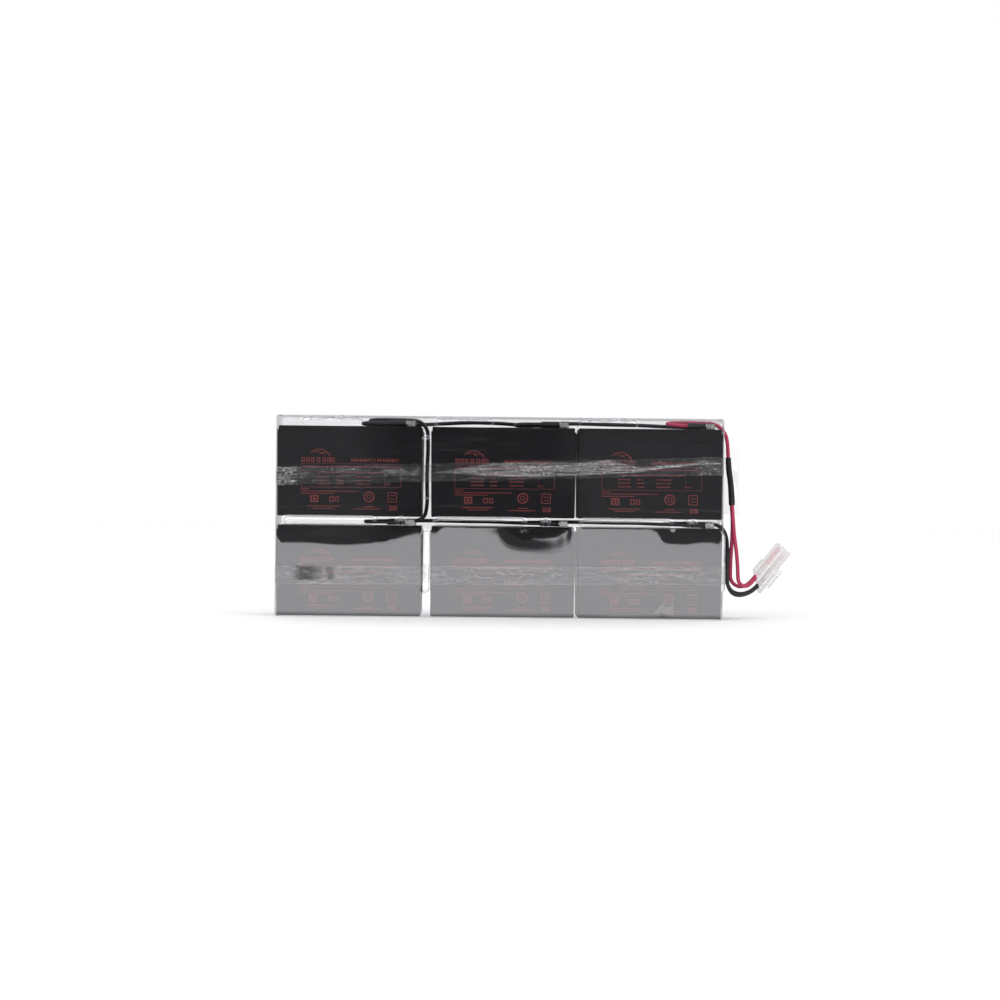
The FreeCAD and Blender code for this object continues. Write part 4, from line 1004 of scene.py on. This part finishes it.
def band_mesh(name, rise, slant, over_rib, crumpled, milky):
    """crumpled and milky say, for a place on the front, how crushed and how white it is, painted glare
    included.

    A crushed place shows where the band stands free, which is on the right wall.
    """
    path = band_path(over_rib)
    lean = math.tan(math.radians(slant))
    mesh = bmesh.new()
    white = mesh.verts.layers.float.new("milk")
    along = [0.0]
    for a, b in zip(path, path[1:] + path[:1]):
        along.append(along[-1] + (b - a).length)
    grid = []
    for i, p in enumerate(path):
        ahead = path[(i + 1) % len(path)] - path[i - 1]
        out = Vector((ahead.y, -ahead.x)).normalized()
        middle = rise + p.x * lean
        front = min(1.0, max(0.0, -p.y / WALL_FADE))
        line = []
        for j in range(ROWS_ACROSS + 1):
            v = (j / ROWS_ACROSS - 0.5) * TAPE_WIDTH
            crush = PLAIN_CRUSH + (crumpled(p.x) - PLAIN_CRUSH) * front
            at = p + out * wrinkle(along[i], v, crush)
            limit = shell_half + TAPE_LIMIT
            y = max(-limit, min(limit, at.y))
            x = max(shell_left - TAPE_LIMIT, at.x)
            corner = mesh.verts.new((x, y, middle + v))
            milk_and_glare = milky((p.x - shell_left) / MM, v / MM)
            corner[white] = PLAIN_MILK + (milk_and_glare - PLAIN_MILK) * front
            line.append(corner)
        grid.append(line)
    for i in range(len(path)):
        after = grid[(i + 1) % len(path)]
        for j in range(ROWS_ACROSS):
            face = mesh.faces.new((grid[i][j], after[j], after[j + 1], grid[i][j + 1]))
            face.smooth = True
    return finished(mesh, name)


print("a band goes through", len(band_path(False)), "places")

# %% [markdown]
# The tape is polypropylene film with a clear glue. Where the glue has not wetted the
# sheet there is air behind it, and it looks white: in a grain, in streaks and along its
# creases. How much of it there is at a place is a value on the band's mesh, and the
# material breaks that value up. On the upper band the same value also holds two patches of
# painted glare.

# %% Tape film
def unstuck(tree, creases):
    """White where the glue has not wetted the sheet, and at two patches of painted glare on the upper
    band.

    It is a grain of 2.6 x 1.8 mm, streaks of 25 x 1.9 mm, and thin creases between folds
    some 50 mm long and 9.5 mm high.
    """
    milk = add_node(tree, "Attribute", attribute_name="milk")
    grain = add_node(
        tree,
        "TexNoise",
        {"Vector": place_of(tree, (380, 380, 560)), "Scale": 1.0, "Detail": 4.0, "Roughness": 0.7},
    )
    streaks = add_node(
        tree,
        "TexNoise",
        {"Vector": place_of(tree, (40, 40, 520)), "Scale": 1.0, "Detail": 5.0, "Roughness": 0.7},
    )
    both = add_node(tree, "Math", {0: grain, 1: streaks}, operation="MULTIPLY")
    broken = add_node(
        tree,
        "MapRange",
        {"Value": both, "From Min": 0.17, "From Max": 0.36, "To Min": 0.15, "To Max": 2.1},
    )
    fold = add_node(
        tree,
        "TexNoise",
        {
            "Vector": place_of(tree, (20, 20, 105)),
            "Scale": 1.0,
            "Detail": 3.0,
            "Roughness": 0.6,
            "Distortion": 1.4,
        },
    )
    off = add_node(tree, "Math", {0: fold, 1: 0.5}, operation="SUBTRACT")
    off = add_node(tree, "Math", {0: off}, operation="ABSOLUTE")
    ridge = add_node(tree, "MapRange", {"Value": off, "From Max": 0.022, "To Min": 1.0, "To Max": 0.0})
    milk_share = add_node(
        tree,
        "Math",
        {0: milk.outputs["Fac"], 1: broken, 2: 0.008},
        operation="MULTIPLY_ADD",
    )
    strength = add_node(
        tree,
        "Math",
        {0: milk.outputs["Fac"], 1: 0.3, 2: creases},
        operation="MULTIPLY_ADD",
    )
    share = add_node(
        tree,
        "Math",
        {0: ridge, 1: strength, 2: milk_share},
        operation="MULTIPLY_ADD",
        use_clamp=True,
    )
    return share


print("film pattern ready")

# %% [markdown]
# The upper band has one long white streak that wanders along the front, and it is crushed
# at both ends, and two white patches on it are painted glare. The lower band lies more
# evenly, with soft milky patches. A painted mask could hold these places, but as a few stops
# and noise they can be read and changed.

# %% White and crushed places
def bump_between(value, low, high, soft):
    """1 between two values and 0 outside them, with soft ends."""
    return eased(min(value - low + soft, high + soft - value) / (2 * soft))


# The upper band's long white streak: place along, foot, head and whiteness at each stop.
STREAK = [
    (165, 0, 0.6, 0.05), (185, -1, 2.5, 0.1), (223, -4.8, 8, 0.14), (265, -7, 8, 0.14),
    (313, -6, 6.4, 0.13), (346, -5.6, 9, 0.12), (363, -5, 4, 0.16), (379, -3.8, 0.2, 0.18),
    (405, -0.4, 2.2, 0.2), (440, 1.6, 3.6, 0.2), (462, 2, 4, 0.12),
]


def upper_milk_and_glare(u, v):
    """How milky the upper band is, with two patches of painted glare, in millimetres along and across
    it.
    """
    cloud = noise.noise(Vector((u / 9, v / 4, 5.0)))
    fleck = noise.noise(Vector((u / 3, v / 2.2, 9.0)))
    whole = 0.012 + 0.03 * max(0.0, cloud) + 0.2 * max(0.0, fleck - 0.3)
    for (u0, low0, high0, w0), (u1, low1, high1, w1) in zip(STREAK, STREAK[1:]):
        if u0 <= u < u1:
            share = (u - u0) / (u1 - u0)
            low = low0 + (low1 - low0) * share
            high = high0 + (high1 - high0) * share
            inside_it = bump_between(v, low, high, 0.6)
            rim = bump_between(v, low - 0.2, low + 0.9, 0.5)
            whole += (w0 + (w1 - w0) * share) * (inside_it + 0.5 * rim)
    crushed_left = bump_between(u, 0, 21, 4) * (0.5 + fleck)
    crushed_right = bump_between(u, 438, 470, 5) * max(0.0, 0.15 + 0.9 * fleck)
    # the two larger patches, from 66 to 88 mm and from 114 to 148 mm along, are painted glare
    patch = bump_between(u, 66, 88, 5) * bump_between(v, 3, 6, 1.2)
    patch += bump_between(u, 114, 148, 6) * bump_between(v, 0 - (u - 114) / 12, 5, 1.4)
    patch += 0.5 * bump_between(u, 26, 33, 3.5) * bump_between(v, -4, 6, 3)
    return whole + 0.2 * crushed_left + 0.22 * crushed_right + 0.12 * patch * (0.6 + cloud)


def lower_milk(u, v):
    """The lower band is milky in soft patches and along both its edges."""
    cloud = noise.noise(Vector((u / 14, v / 6, 2.0)))
    edge = bump_between(abs(v), 8.4, 9.4, 0.5)
    fleck = noise.noise(Vector((u / 4, v / 2, 6.0)))
    return 0.014 + 0.07 * max(0.0, cloud) + 0.18 * max(0.0, fleck - 0.2) + 0.08 * edge


def upper_crumple(x):
    """The upper band is crushed at both ends of the front."""
    u = (x - shell_left) / MM
    return max(0.0, 1 - abs(u - 9) / 14, 1 - abs(u - 456) / 16) + 0.12


def lower_crumple(x):
    """The lower band lies evenly."""
    return 0.1


print("upper band at its middle:", round(upper_milk_and_glare(233, 0), 3), "milky")

# %% [markdown]
# Both bands are the same tape. The lower one was stretched more, so it has stronger creases
# and mirrors less.

# %% Both bands
# Each band's material, creases and mirror share, then its rise, slant in degrees, whether it
# goes over the rib, and its crumpling and milkiness, painted glare included.
BANDS = {
    "upper_tape": (("clear_pp_tape", 0.02, 0.03), (153.4 * MM, 1.85, False, upper_crumple, upper_milk_and_glare)),
    "lower_tape": (
        ("clear_pp_tape_creased", 0.2, 0.012), (44.5 * MM, 0.4, True, lower_crumple, lower_milk)
    ),
}
for name, ((finish, creases, head_on), shape) in BANDS.items():
    film = clear_sheet(
        finish,
        "#fbfbfb",
        0.05,
        lambda tree: unstuck(tree, creases),
        head_on=head_on,
        edge=0.3,
        milk="#f1f1f3",
    )
    band = add_piece(f"{name}_band", band_mesh(name, *shape), name)
    dress(band, film)
    print(band.name, len(band.data.polygons), "faces")

# %% [markdown]
# Something dark once stuck to the lower band near its left end and left a mottled smudge,
# and low on the right two torn scraps of an old label are still on the sheet. Each is a
# flat piece just off the surface, so that it stays apart from what it lies on.

# %% Smudge and scraps
STAIN_GRAIN = (150, 150, 260)      # patterns a metre


def stain_sheet(name, u0, u1, z0, z1, y, cover):
    """A thin grid from u0 to u1 along and z0 to z1 up, in millimetres.

    Its "cover" value says how much of it there is at each corner.
    """
    columns, rows = 44, 26
    mesh = bmesh.new()
    layer = mesh.verts.layers.float.new("cover")
    grid = []
    for i in range(columns + 1):
        line = []
        for j in range(rows + 1):
            u, z = u0 + (u1 - u0) * i / columns, z0 + (z1 - z0) * j / rows
            corner = mesh.verts.new((shell_left + u * MM, y, z * MM))
            corner[layer] = cover(u, z)
            line.append(corner)
        grid.append(line)
    for a, b in zip(grid, grid[1:]):
        for j in range(rows):
            mesh.faces.new((a[j], b[j], b[j + 1], a[j + 1]))
    return add_piece(name, finished(mesh, name))


def torn_piece(name, outline, y):
    """A flat scrap with a torn outline, from (along, up) points in millimetres."""
    mesh = bmesh.new()
    corners = [mesh.verts.new((shell_left + u * MM, y, z * MM)) for u, z in outline]
    mesh.faces.new(corners)
    bmesh.ops.triangulate(mesh, faces=mesh.faces)
    return add_piece(name, finished(mesh, name))


def mottled(name, hex_colour, low, high, top, by_cover=False):
    """A thin stain: opaque where its 6.7 x 3.8 mm grain is high and gone where it is low."""
    material, tree = new_material(name)
    grain = add_node(
        tree,
        "TexNoise",
        {"Vector": place_of(tree, STAIN_GRAIN), "Scale": 1.0, "Detail": 6.0, "Roughness": 0.65},
    )
    part = add_node(
        tree,
        "MapRange",
        {"Value": grain, "From Min": low, "From Max": high, "To Max": top},
    )
    if by_cover:
        cover = add_node(tree, "Attribute", attribute_name="cover")
        part = add_node(tree, "Math", {0: part, 1: cover.outputs["Fac"]}, operation="MULTIPLY")
    surface = add_node(
        tree,
        "BsdfPrincipled",
        {"Base Color": linear(hex_colour), "Roughness": 0.7, "Alpha": part},
    )
    return surfaced(material, surface)


def smudge_cover(u, z):
    """How much smudge there is at a place: one patch with a weaker lobe to its right."""
    grid_marks = 0.85 + 0.15 * math.sin(u * 3.4) * math.sin(z * 3.1)
    main = bump_between(u, 23, 48, 7) * (1 - 0.35 * bump_between(u, 38, 60, 3))
    lobe = 0.45 * bump_between(u, 53, 61, 3)
    return (main + lobe) * bump_between(z, 38, 52.6, 1.8) * grid_marks


smudge_y = -(shell_half + 0.148 * MM)      # just in front of the band
smudge_box = (14, 68, 35.5, 54.5)
smudge = stain_sheet("band_smudge", *smudge_box, smudge_y, smudge_cover)
dress(smudge, mottled("dark_smudge", "#1c1b1f", 0.05, 0.75, 0.75, True))
scrap_y = -(shell_half + 0.02 * MM)        # flat on the shell
torn_paper = mottled("torn_paper", "#aeabaa", 0.2, 0.45, 0.8)
scraps = (
    ("label_scrap", [(392, 6), (395, 8), (396.5, 10.5), (400, 12), (401.5, 15.5), (405, 17)]
     + [(407, 14.5), (409, 13), (411, 16), (414.5, 15.5), (415, 11), (414, 5), (410, 6.5)]
     + [(406, 6), (402, 8.5), (399, 7)]),
    ("label_scrap_small", [(381, 8.5), (383, 10.5), (384.5, 12), (385.5, 9), (383, 7)]),
)
for name, outline in scraps:
    dress(torn_piece(name, outline, scrap_y), torn_paper)
print("smudge and scraps")

# %% [markdown]
# The jumpers and the negative leads have a black PVC jacket, and the positive ones a red
# silicone jacket. Both are soft and extruded, so they shine a little and evenly. The
# terminals and their receptacles are tin-plated brass, the covers on them clear nylon, and
# the sleeves black adhesive-lined shrink tube.

# %% Wiring finishes
def plain_plastic(name, hex_colour, rough):
    """A soft-looking plastic of one colour, with a 1.1 mm mottle in its gloss."""
    material, tree = new_material(name)
    mottle = add_node(tree, "TexNoise", {"Vector": place_of(tree, 900), "Scale": 1.0, "Detail": 3.0})
    change = add_node(
        tree,
        "MapRange",
        {"Value": mottle, "To Min": rough - 0.06, "To Max": rough + 0.08},
    )
    surface = add_node(
        tree,
        "BsdfPrincipled",
        {"Base Color": linear(hex_colour), "Roughness": change, "IOR": 1.5},
    )
    return surfaced(material, surface)


def tinned_brass():
    """Electroplated tin: a bright grey metal that has dulled in patches 1.7 mm across."""
    material, tree = new_material("tinned_brass")
    dull = add_node(tree, "TexNoise", {"Vector": place_of(tree, 600), "Scale": 1.0, "Detail": 4.0})
    rough = add_node(tree, "MapRange", {"Value": dull, "To Min": 0.16, "To Max": 0.4})
    surface = add_node(
        tree,
        "BsdfPrincipled",
        {"Base Color": linear("#cfcdc6"), "Metallic": 1.0, "Roughness": rough},
    )
    return surfaced(material, surface)


def clear_nylon():
    """Thin clear moulding: most light goes through, the rest is scattered or mirrored."""
    material, tree = new_material("clear_nylon")
    through = add_node(tree, "BsdfTransparent", {"Color": linear("#fafafa")})
    milk = add_node(tree, "BsdfTranslucent", {"Color": linear("#e6e6e2")})
    mirror = add_node(tree, "BsdfAnisotropic", {"Color": linear("#ffffff"), "Roughness": 0.12})
    inside_mix = add_node(tree, "MixShader", {0: 0.07, 1: through, 2: milk})
    whole = add_node(tree, "MixShader", {0: mirror_share(tree, 0.05), 1: inside_mix, 2: mirror})
    return surfaced(material, whole)


black_pvc = plain_plastic("black_pvc_jacket", "#1d1c22", 0.38)
red_pvc = plain_plastic("red_silicone_jacket", "#b93059", 0.34)
shrink = plain_plastic("black_shrink_sleeve", "#1b1a21", 0.5)
metal = tinned_brass()
nylon = clear_nylon()

for name, piece in nodes.items():
    if name in LEADS:
        continue
    if name.endswith(("_terminals", "_receptacle", "_receptacles", "_contacts")):
        dress(piece, metal)
    elif name.endswith("_covers"):
        dress(piece, nylon)
    elif name.endswith(("_sleeves", "_splice_sleeve")):
        dress(piece, shrink)
    elif name == "red_inner_lead":
        dress(piece, red_pvc)
    elif name == "black_inner_lead" or (name.startswith("jumper") and name[-1].isdigit()):
        dress(piece, black_pvc)
for name, lead in leads.items():
    if name.startswith("red"):
        dress(lead, red_pvc)
    else:
        dress(lead, black_pvc)
print("wiring dressed")

# %% [markdown]
# The output plug is a four-way housing moulded in natural nylon, which is milky: light
# soaks in and comes out elsewhere. Its edges are all broken by a small radius.

# %% Plug
def milky_nylon():
    """Natural nylon a millimetre thick: what is behind it shows dimly, light soaks in, and its rims are
    darkened as painted shade.
    """
    material, tree = new_material("milky_nylon")
    through = add_node(tree, "BsdfTransparent", {"Color": linear("#fbfafa")})
    facing = add_node(tree, "LayerWeight", {"Blend": 0.5})
    rim = add_node(tree, "Math", {0: facing.outputs["Facing"], 1: 2.0}, operation="POWER")
    # darker towards the rims, where the housing is seen edge-on: painted shade
    tone_with_rim_shade = add_node(
        tree,
        "Mix",
        {"Factor": rim, 6: linear("#efecec"), 7: linear("#a19da0")},
        data_type="RGBA",
    )
    lit = add_node(tree, "BsdfDiffuse", {"Color": tone_with_rim_shade})
    thick = add_node(
        tree,
        "MapRange",
        {"Value": facing.outputs["Facing"], "To Min": 0.32, "To Max": 0.9},
    )
    body = add_node(tree, "MixShader", {0: thick, 1: through, 2: lit})
    mirror = add_node(tree, "BsdfAnisotropic", {"Color": linear("#ffffff"), "Roughness": 0.2})
    skin = add_node(tree, "MixShader", {0: mirror_share(tree, 0.05), 1: body, 2: mirror})
    ray = add_node(tree, "LightPath")
    soaking = add_node(
        tree,
        "Math",
        {0: ray.outputs["Is Shadow Ray"], 1: ray.outputs["Is Diffuse Ray"]},
        operation="MAXIMUM",
    )
    whole = add_node(tree, "MixShader", {0: soaking, 1: skin, 2: through})
    return surfaced(material, whole)


plug = dress(nodes["plug_housing"], milky_nylon())
breaks = plug.modifiers.new("broken edges", "BEVEL")
breaks.width = 0.35 * MM
breaks.segments = 2
breaks.limit_method = "ANGLE"
breaks.angle_limit = math.radians(40)
print("plug dressed")

# %% [markdown]
# Each red wire ends in a thin ribbed seal, which shows through the milky housing as a red
# line. It starts where the red leads end, and follows the cavity.

# %% Seals in the plug
PLUG_ALONG = Vector((0.6252, 0, 0.7804))
PLUG_ACROSS = Vector((0.7804, 0, -0.6252))
PLUG_SIDE = Vector((0, 1, 0))
SEAL_FOOT = (shell_right + 40.3 * MM, 48.4 * MM)
SEAL_LENGTH = 35           # millimetres, one ring of points each
SEAL, SEAL_RIB = 1.85 * MM, 2.05 * MM


def contact_seal(name, y):
    """A red seal along one of the upper cavities, with a rib every five millimetres."""
    start = Vector((SEAL_FOOT[0], y, SEAL_FOOT[1]))
    mesh = bmesh.new()
    rings = []
    for step in range(SEAL_LENGTH + 1):
        middle = start + PLUG_ALONG * step * MM
        radius = SEAL_RIB if step % 5 in (1, 2) else SEAL
        ring = []
        for i in range(20):
            turn = math.radians(18 * i)
            side = PLUG_ACROSS * math.cos(turn) + PLUG_SIDE * math.sin(turn)
            ring.append(mesh.verts.new(middle + side * radius))
        rings.append(ring)
    for low, high in zip(rings, rings[1:]):
        for face in stitch(mesh, low, high):
            face.smooth = True
    return dress(add_piece(name, finished(mesh, name)), red_pvc)


for name, y in (("front_red_seal", -10.5), ("rear_red_seal", -2.5)):
    contact_seal(name, y * MM)
print("seals", SEAL_LENGTH, "mm long")

# %% [markdown]
# The stage is not part of the object. Its floor is white paper that keeps the soft shadow.
# What mirrors see of it is a painted reflection: the paper glows for mirrored rays only,
# brighter than paper in front of the pack, as paper lit past white in a studio would look,
# and plain white beside and behind the pack. Close in front of the pack the glow falls to
# the plain level, a painted shade, and one ragged dark spot is painted into it. A lamp on it
# would light the object too, so this glow is for mirrored light only.

# %% Floor
SPOT = (0.085, -3.9, 0.1, 1.3)     # a painted dark spot in the glow that mirrors see: x, y and its two reaches
SPOT_RIM = (1.15, 1.65)            # where its ragged rim begins and ends, in its reaches
SPOT_GREY, PAINTED_GLOW = 0.12, 2.6   # how bright mirrors see the painted spot and the painted glow round it
PLAIN_SHARE = 0.4                  # the plain paper's share of the painted glow's brightness
GLOW_FROM = (-0.06, -0.14)          # y at which the painted glow begins and is full; nearer the pack it is plain, a painted shade
GLOW_SIDE = (0.32, 0.44)            # x at which it starts to end and has ended, by the pack
GLOW_SPREAD = 0.2                   # and how fast it widens with the distance in front


def stage_mesh(name, corners, faces):
    """A plain mesh of the stage, not of the object."""
    data = bpy.data.meshes.new(name)
    data.from_pydata(corners, [], faces)
    made = bpy.data.objects.new(name, data)
    bpy.context.scene.collection.objects.link(made)
    return made


def floor_and_painted_reflection():
    """White paper. Mirrors see a painted reflection in its place: a glow, with one ragged painted dark
    spot in it.
    """
    material, tree = new_material("stage_floor")
    paper = add_node(tree, "BsdfDiffuse", {"Color": linear("#fefefe")})
    place = add_node(tree, "TexCoord")
    wobble = add_node(
        tree,
        "TexNoise",
        {"Vector": place.outputs["Object"], "Scale": 9.0, "Detail": 3.0},
    )
    shape = add_node(
        tree,
        "Mapping",
        {
            "Vector": place.outputs["Object"],
            "Location": (-SPOT[0] / SPOT[2], -SPOT[1] / SPOT[3], 0),
            "Scale": (1 / SPOT[2], 1 / SPOT[3], 1),
        },
    )
    far = add_node(tree, "VectorMath", {0: shape}, operation="LENGTH")
    ragged = add_node(
        tree,
        "Math",
        {0: wobble, 1: 0.9, 2: far.outputs["Value"]},
        operation="MULTIPLY_ADD",
    )
    level = add_node(
        tree,
        "MapRange",
        {
            "Value": ragged,
            "From Min": SPOT_RIM[0],
            "From Max": SPOT_RIM[1],
            "To Min": SPOT_GREY,
            "To Max": PAINTED_GLOW,
        },
        interpolation_type="SMOOTHSTEP",
    )
    where = add_node(tree, "SeparateXYZ", {"Vector": place.outputs["Object"]})
    in_front = add_node(
        tree,
        "MapRange",
        {"Value": where.outputs["Y"], "From Min": GLOW_FROM[0], "From Max": GLOW_FROM[1]},
        interpolation_type="SMOOTHSTEP",
    )
    aside = add_node(tree, "Math", {0: where.outputs["X"]}, operation="ABSOLUTE")
    aside = add_node(
        tree,
        "Math",
        {0: where.outputs["Y"], 1: GLOW_SPREAD, 2: aside},
        operation="MULTIPLY_ADD",
    )
    between = add_node(
        tree,
        "MapRange",
        {
            "Value": aside,
            "From Min": GLOW_SIDE[0],
            "From Max": GLOW_SIDE[1],
            "To Min": 1.0,
            "To Max": 0.0,
        },
        interpolation_type="SMOOTHSTEP",
    )
    near = add_node(tree, "Math", {0: in_front, 1: between}, operation="MULTIPLY")
    share = add_node(
        tree, "Math", {0: near, 1: 1 - PLAIN_SHARE, 2: PLAIN_SHARE}, operation="MULTIPLY_ADD"
    )
    strength = add_node(tree, "Math", {0: level, 1: share}, operation="MULTIPLY")
    # what mirrors see: a painted glow, with its painted dark spot and painted shade near the pack
    bright = add_node(tree, "Emission", {"Color": linear("#fcfbff"), "Strength": strength})
    ray = add_node(tree, "LightPath")
    pick = add_node(tree, "MixShader", {0: ray.outputs["Is Glossy Ray"], 1: paper, 2: bright})
    return surfaced(material, pick)


sheet_corners = [(-9, -9, 0), (9, -9, 0), (9, 9, 0), (-9, 9, 0)]
floor = stage_mesh("stage_floor", sheet_corners, [(0, 1, 2, 3)])
floor.data.materials.append(floor_and_painted_reflection())
print("floor", round(floor.dimensions.x), "m wide")

# %% [markdown]
# The bright paper ends under five metres in front of the pack. Past it a dark wall stands
# round the front of the stage, which only mirrored light can see: a painted reflection of a
# dark room, which a clear sheet shows as a dark band.

# %% Dark wall for mirrors, a painted reflection
FLOOR_REACH, WALL_HEIGHT = 4.8, 4.0
WALL_FROM, WALL_TURN = -170, 160   # degrees round the pack, counted from +X
DARK_X = -0.08                     # the wall is darkest here
DARK_ENDS = (0.24, 0.44)           # and gets greyer between these distances from there
DARK_GREYS = (0.004, 0.12)


def painted_dark_reflection():
    """A painted dark reflection that glows faintly: darkest in the middle, greyer to both sides."""
    material, tree = new_material("stage_painted_dark_reflection")
    place = add_node(tree, "TexCoord")
    parts = add_node(tree, "SeparateXYZ", {"Vector": place.outputs["Object"]})
    aside = add_node(tree, "Math", {0: parts.outputs["X"], 1: -DARK_X}, operation="ADD")
    aside = add_node(tree, "Math", {0: aside}, operation="ABSOLUTE")
    grey = add_node(
        tree,
        "MapRange",
        {
            "Value": aside,
            "From Min": DARK_ENDS[0],
            "From Max": DARK_ENDS[1],
            "To Min": DARK_GREYS[0],
            "To Max": DARK_GREYS[1],
        },
        interpolation_type="SMOOTHSTEP",
    )
    dark = add_node(tree, "Emission", {"Color": linear("#f6f4fa"), "Strength": grey})
    return surfaced(material, dark)


def make_flag():
    """A dark wall round the front of the stage, seen only in mirrors as a painted reflection."""
    corners = []
    faces = []
    steps = 24
    for i in range(steps + 1):
        turn = math.radians(WALL_FROM + WALL_TURN * i / steps)
        x, y = FLOOR_REACH * math.cos(turn), FLOOR_REACH * math.sin(turn)
        corners += [(x, y, 0.0), (x, y, WALL_HEIGHT)]
        if i:
            faces.append((2 * i - 2, 2 * i, 2 * i + 1, 2 * i - 1))
    flag = stage_mesh("stage_flag", corners, faces)
    flag.data.materials.append(painted_dark_reflection())
    for kind in ("camera", "diffuse", "transmission", "shadow", "volume_scatter"):
        setattr(flag, f"visible_{kind}", False)
    return flag


flag = make_flag()
print("dark wall of", len(flag.data.polygons), "faces")

# %% [markdown]
# One large soft lamp stands high on the left and a weaker one on the right, in a white
# surround. Together they light the object at a plain level, at which a colour renders
# about as it is written.

# %% Lamps and surround
def make_lamp(name, where, size, power):
    """A square area lamp, in watts, that looks at the pack."""
    data = bpy.data.lights.new(name, "AREA")
    data.size = size
    data.energy = power
    made = bpy.data.objects.new(name, data)
    bpy.context.scene.collection.objects.link(made)
    made.location = where
    aim = (Vector((0, 0, 0.1)) - Vector(where)).to_track_quat("-Z", "Y")
    made.rotation_euler = aim.to_euler()
    return made


def make_surround():
    """White from everywhere, for the camera, for mirrors and as soft light."""
    world = bpy.data.worlds.new("surround")
    bpy.context.scene.world = world
    world.use_nodes = True
    tree = world.node_tree
    tree.nodes.clear()
    white = add_node(tree, "Background", {"Color": linear("#ffffff"), "Strength": 1.0})
    add_node(tree, "OutputWorld", {"Surface": white})


key_lamp = make_lamp("lamp_left", (-1.6, -1.7, 2.3), size=1.4, power=14)
side_lamp = make_lamp("lamp_right", (2.0, -0.9, 1.9), size=1.0, power=4)
make_surround()
bpy.context.scene.view_settings.view_transform = "Standard"
print("stage set")
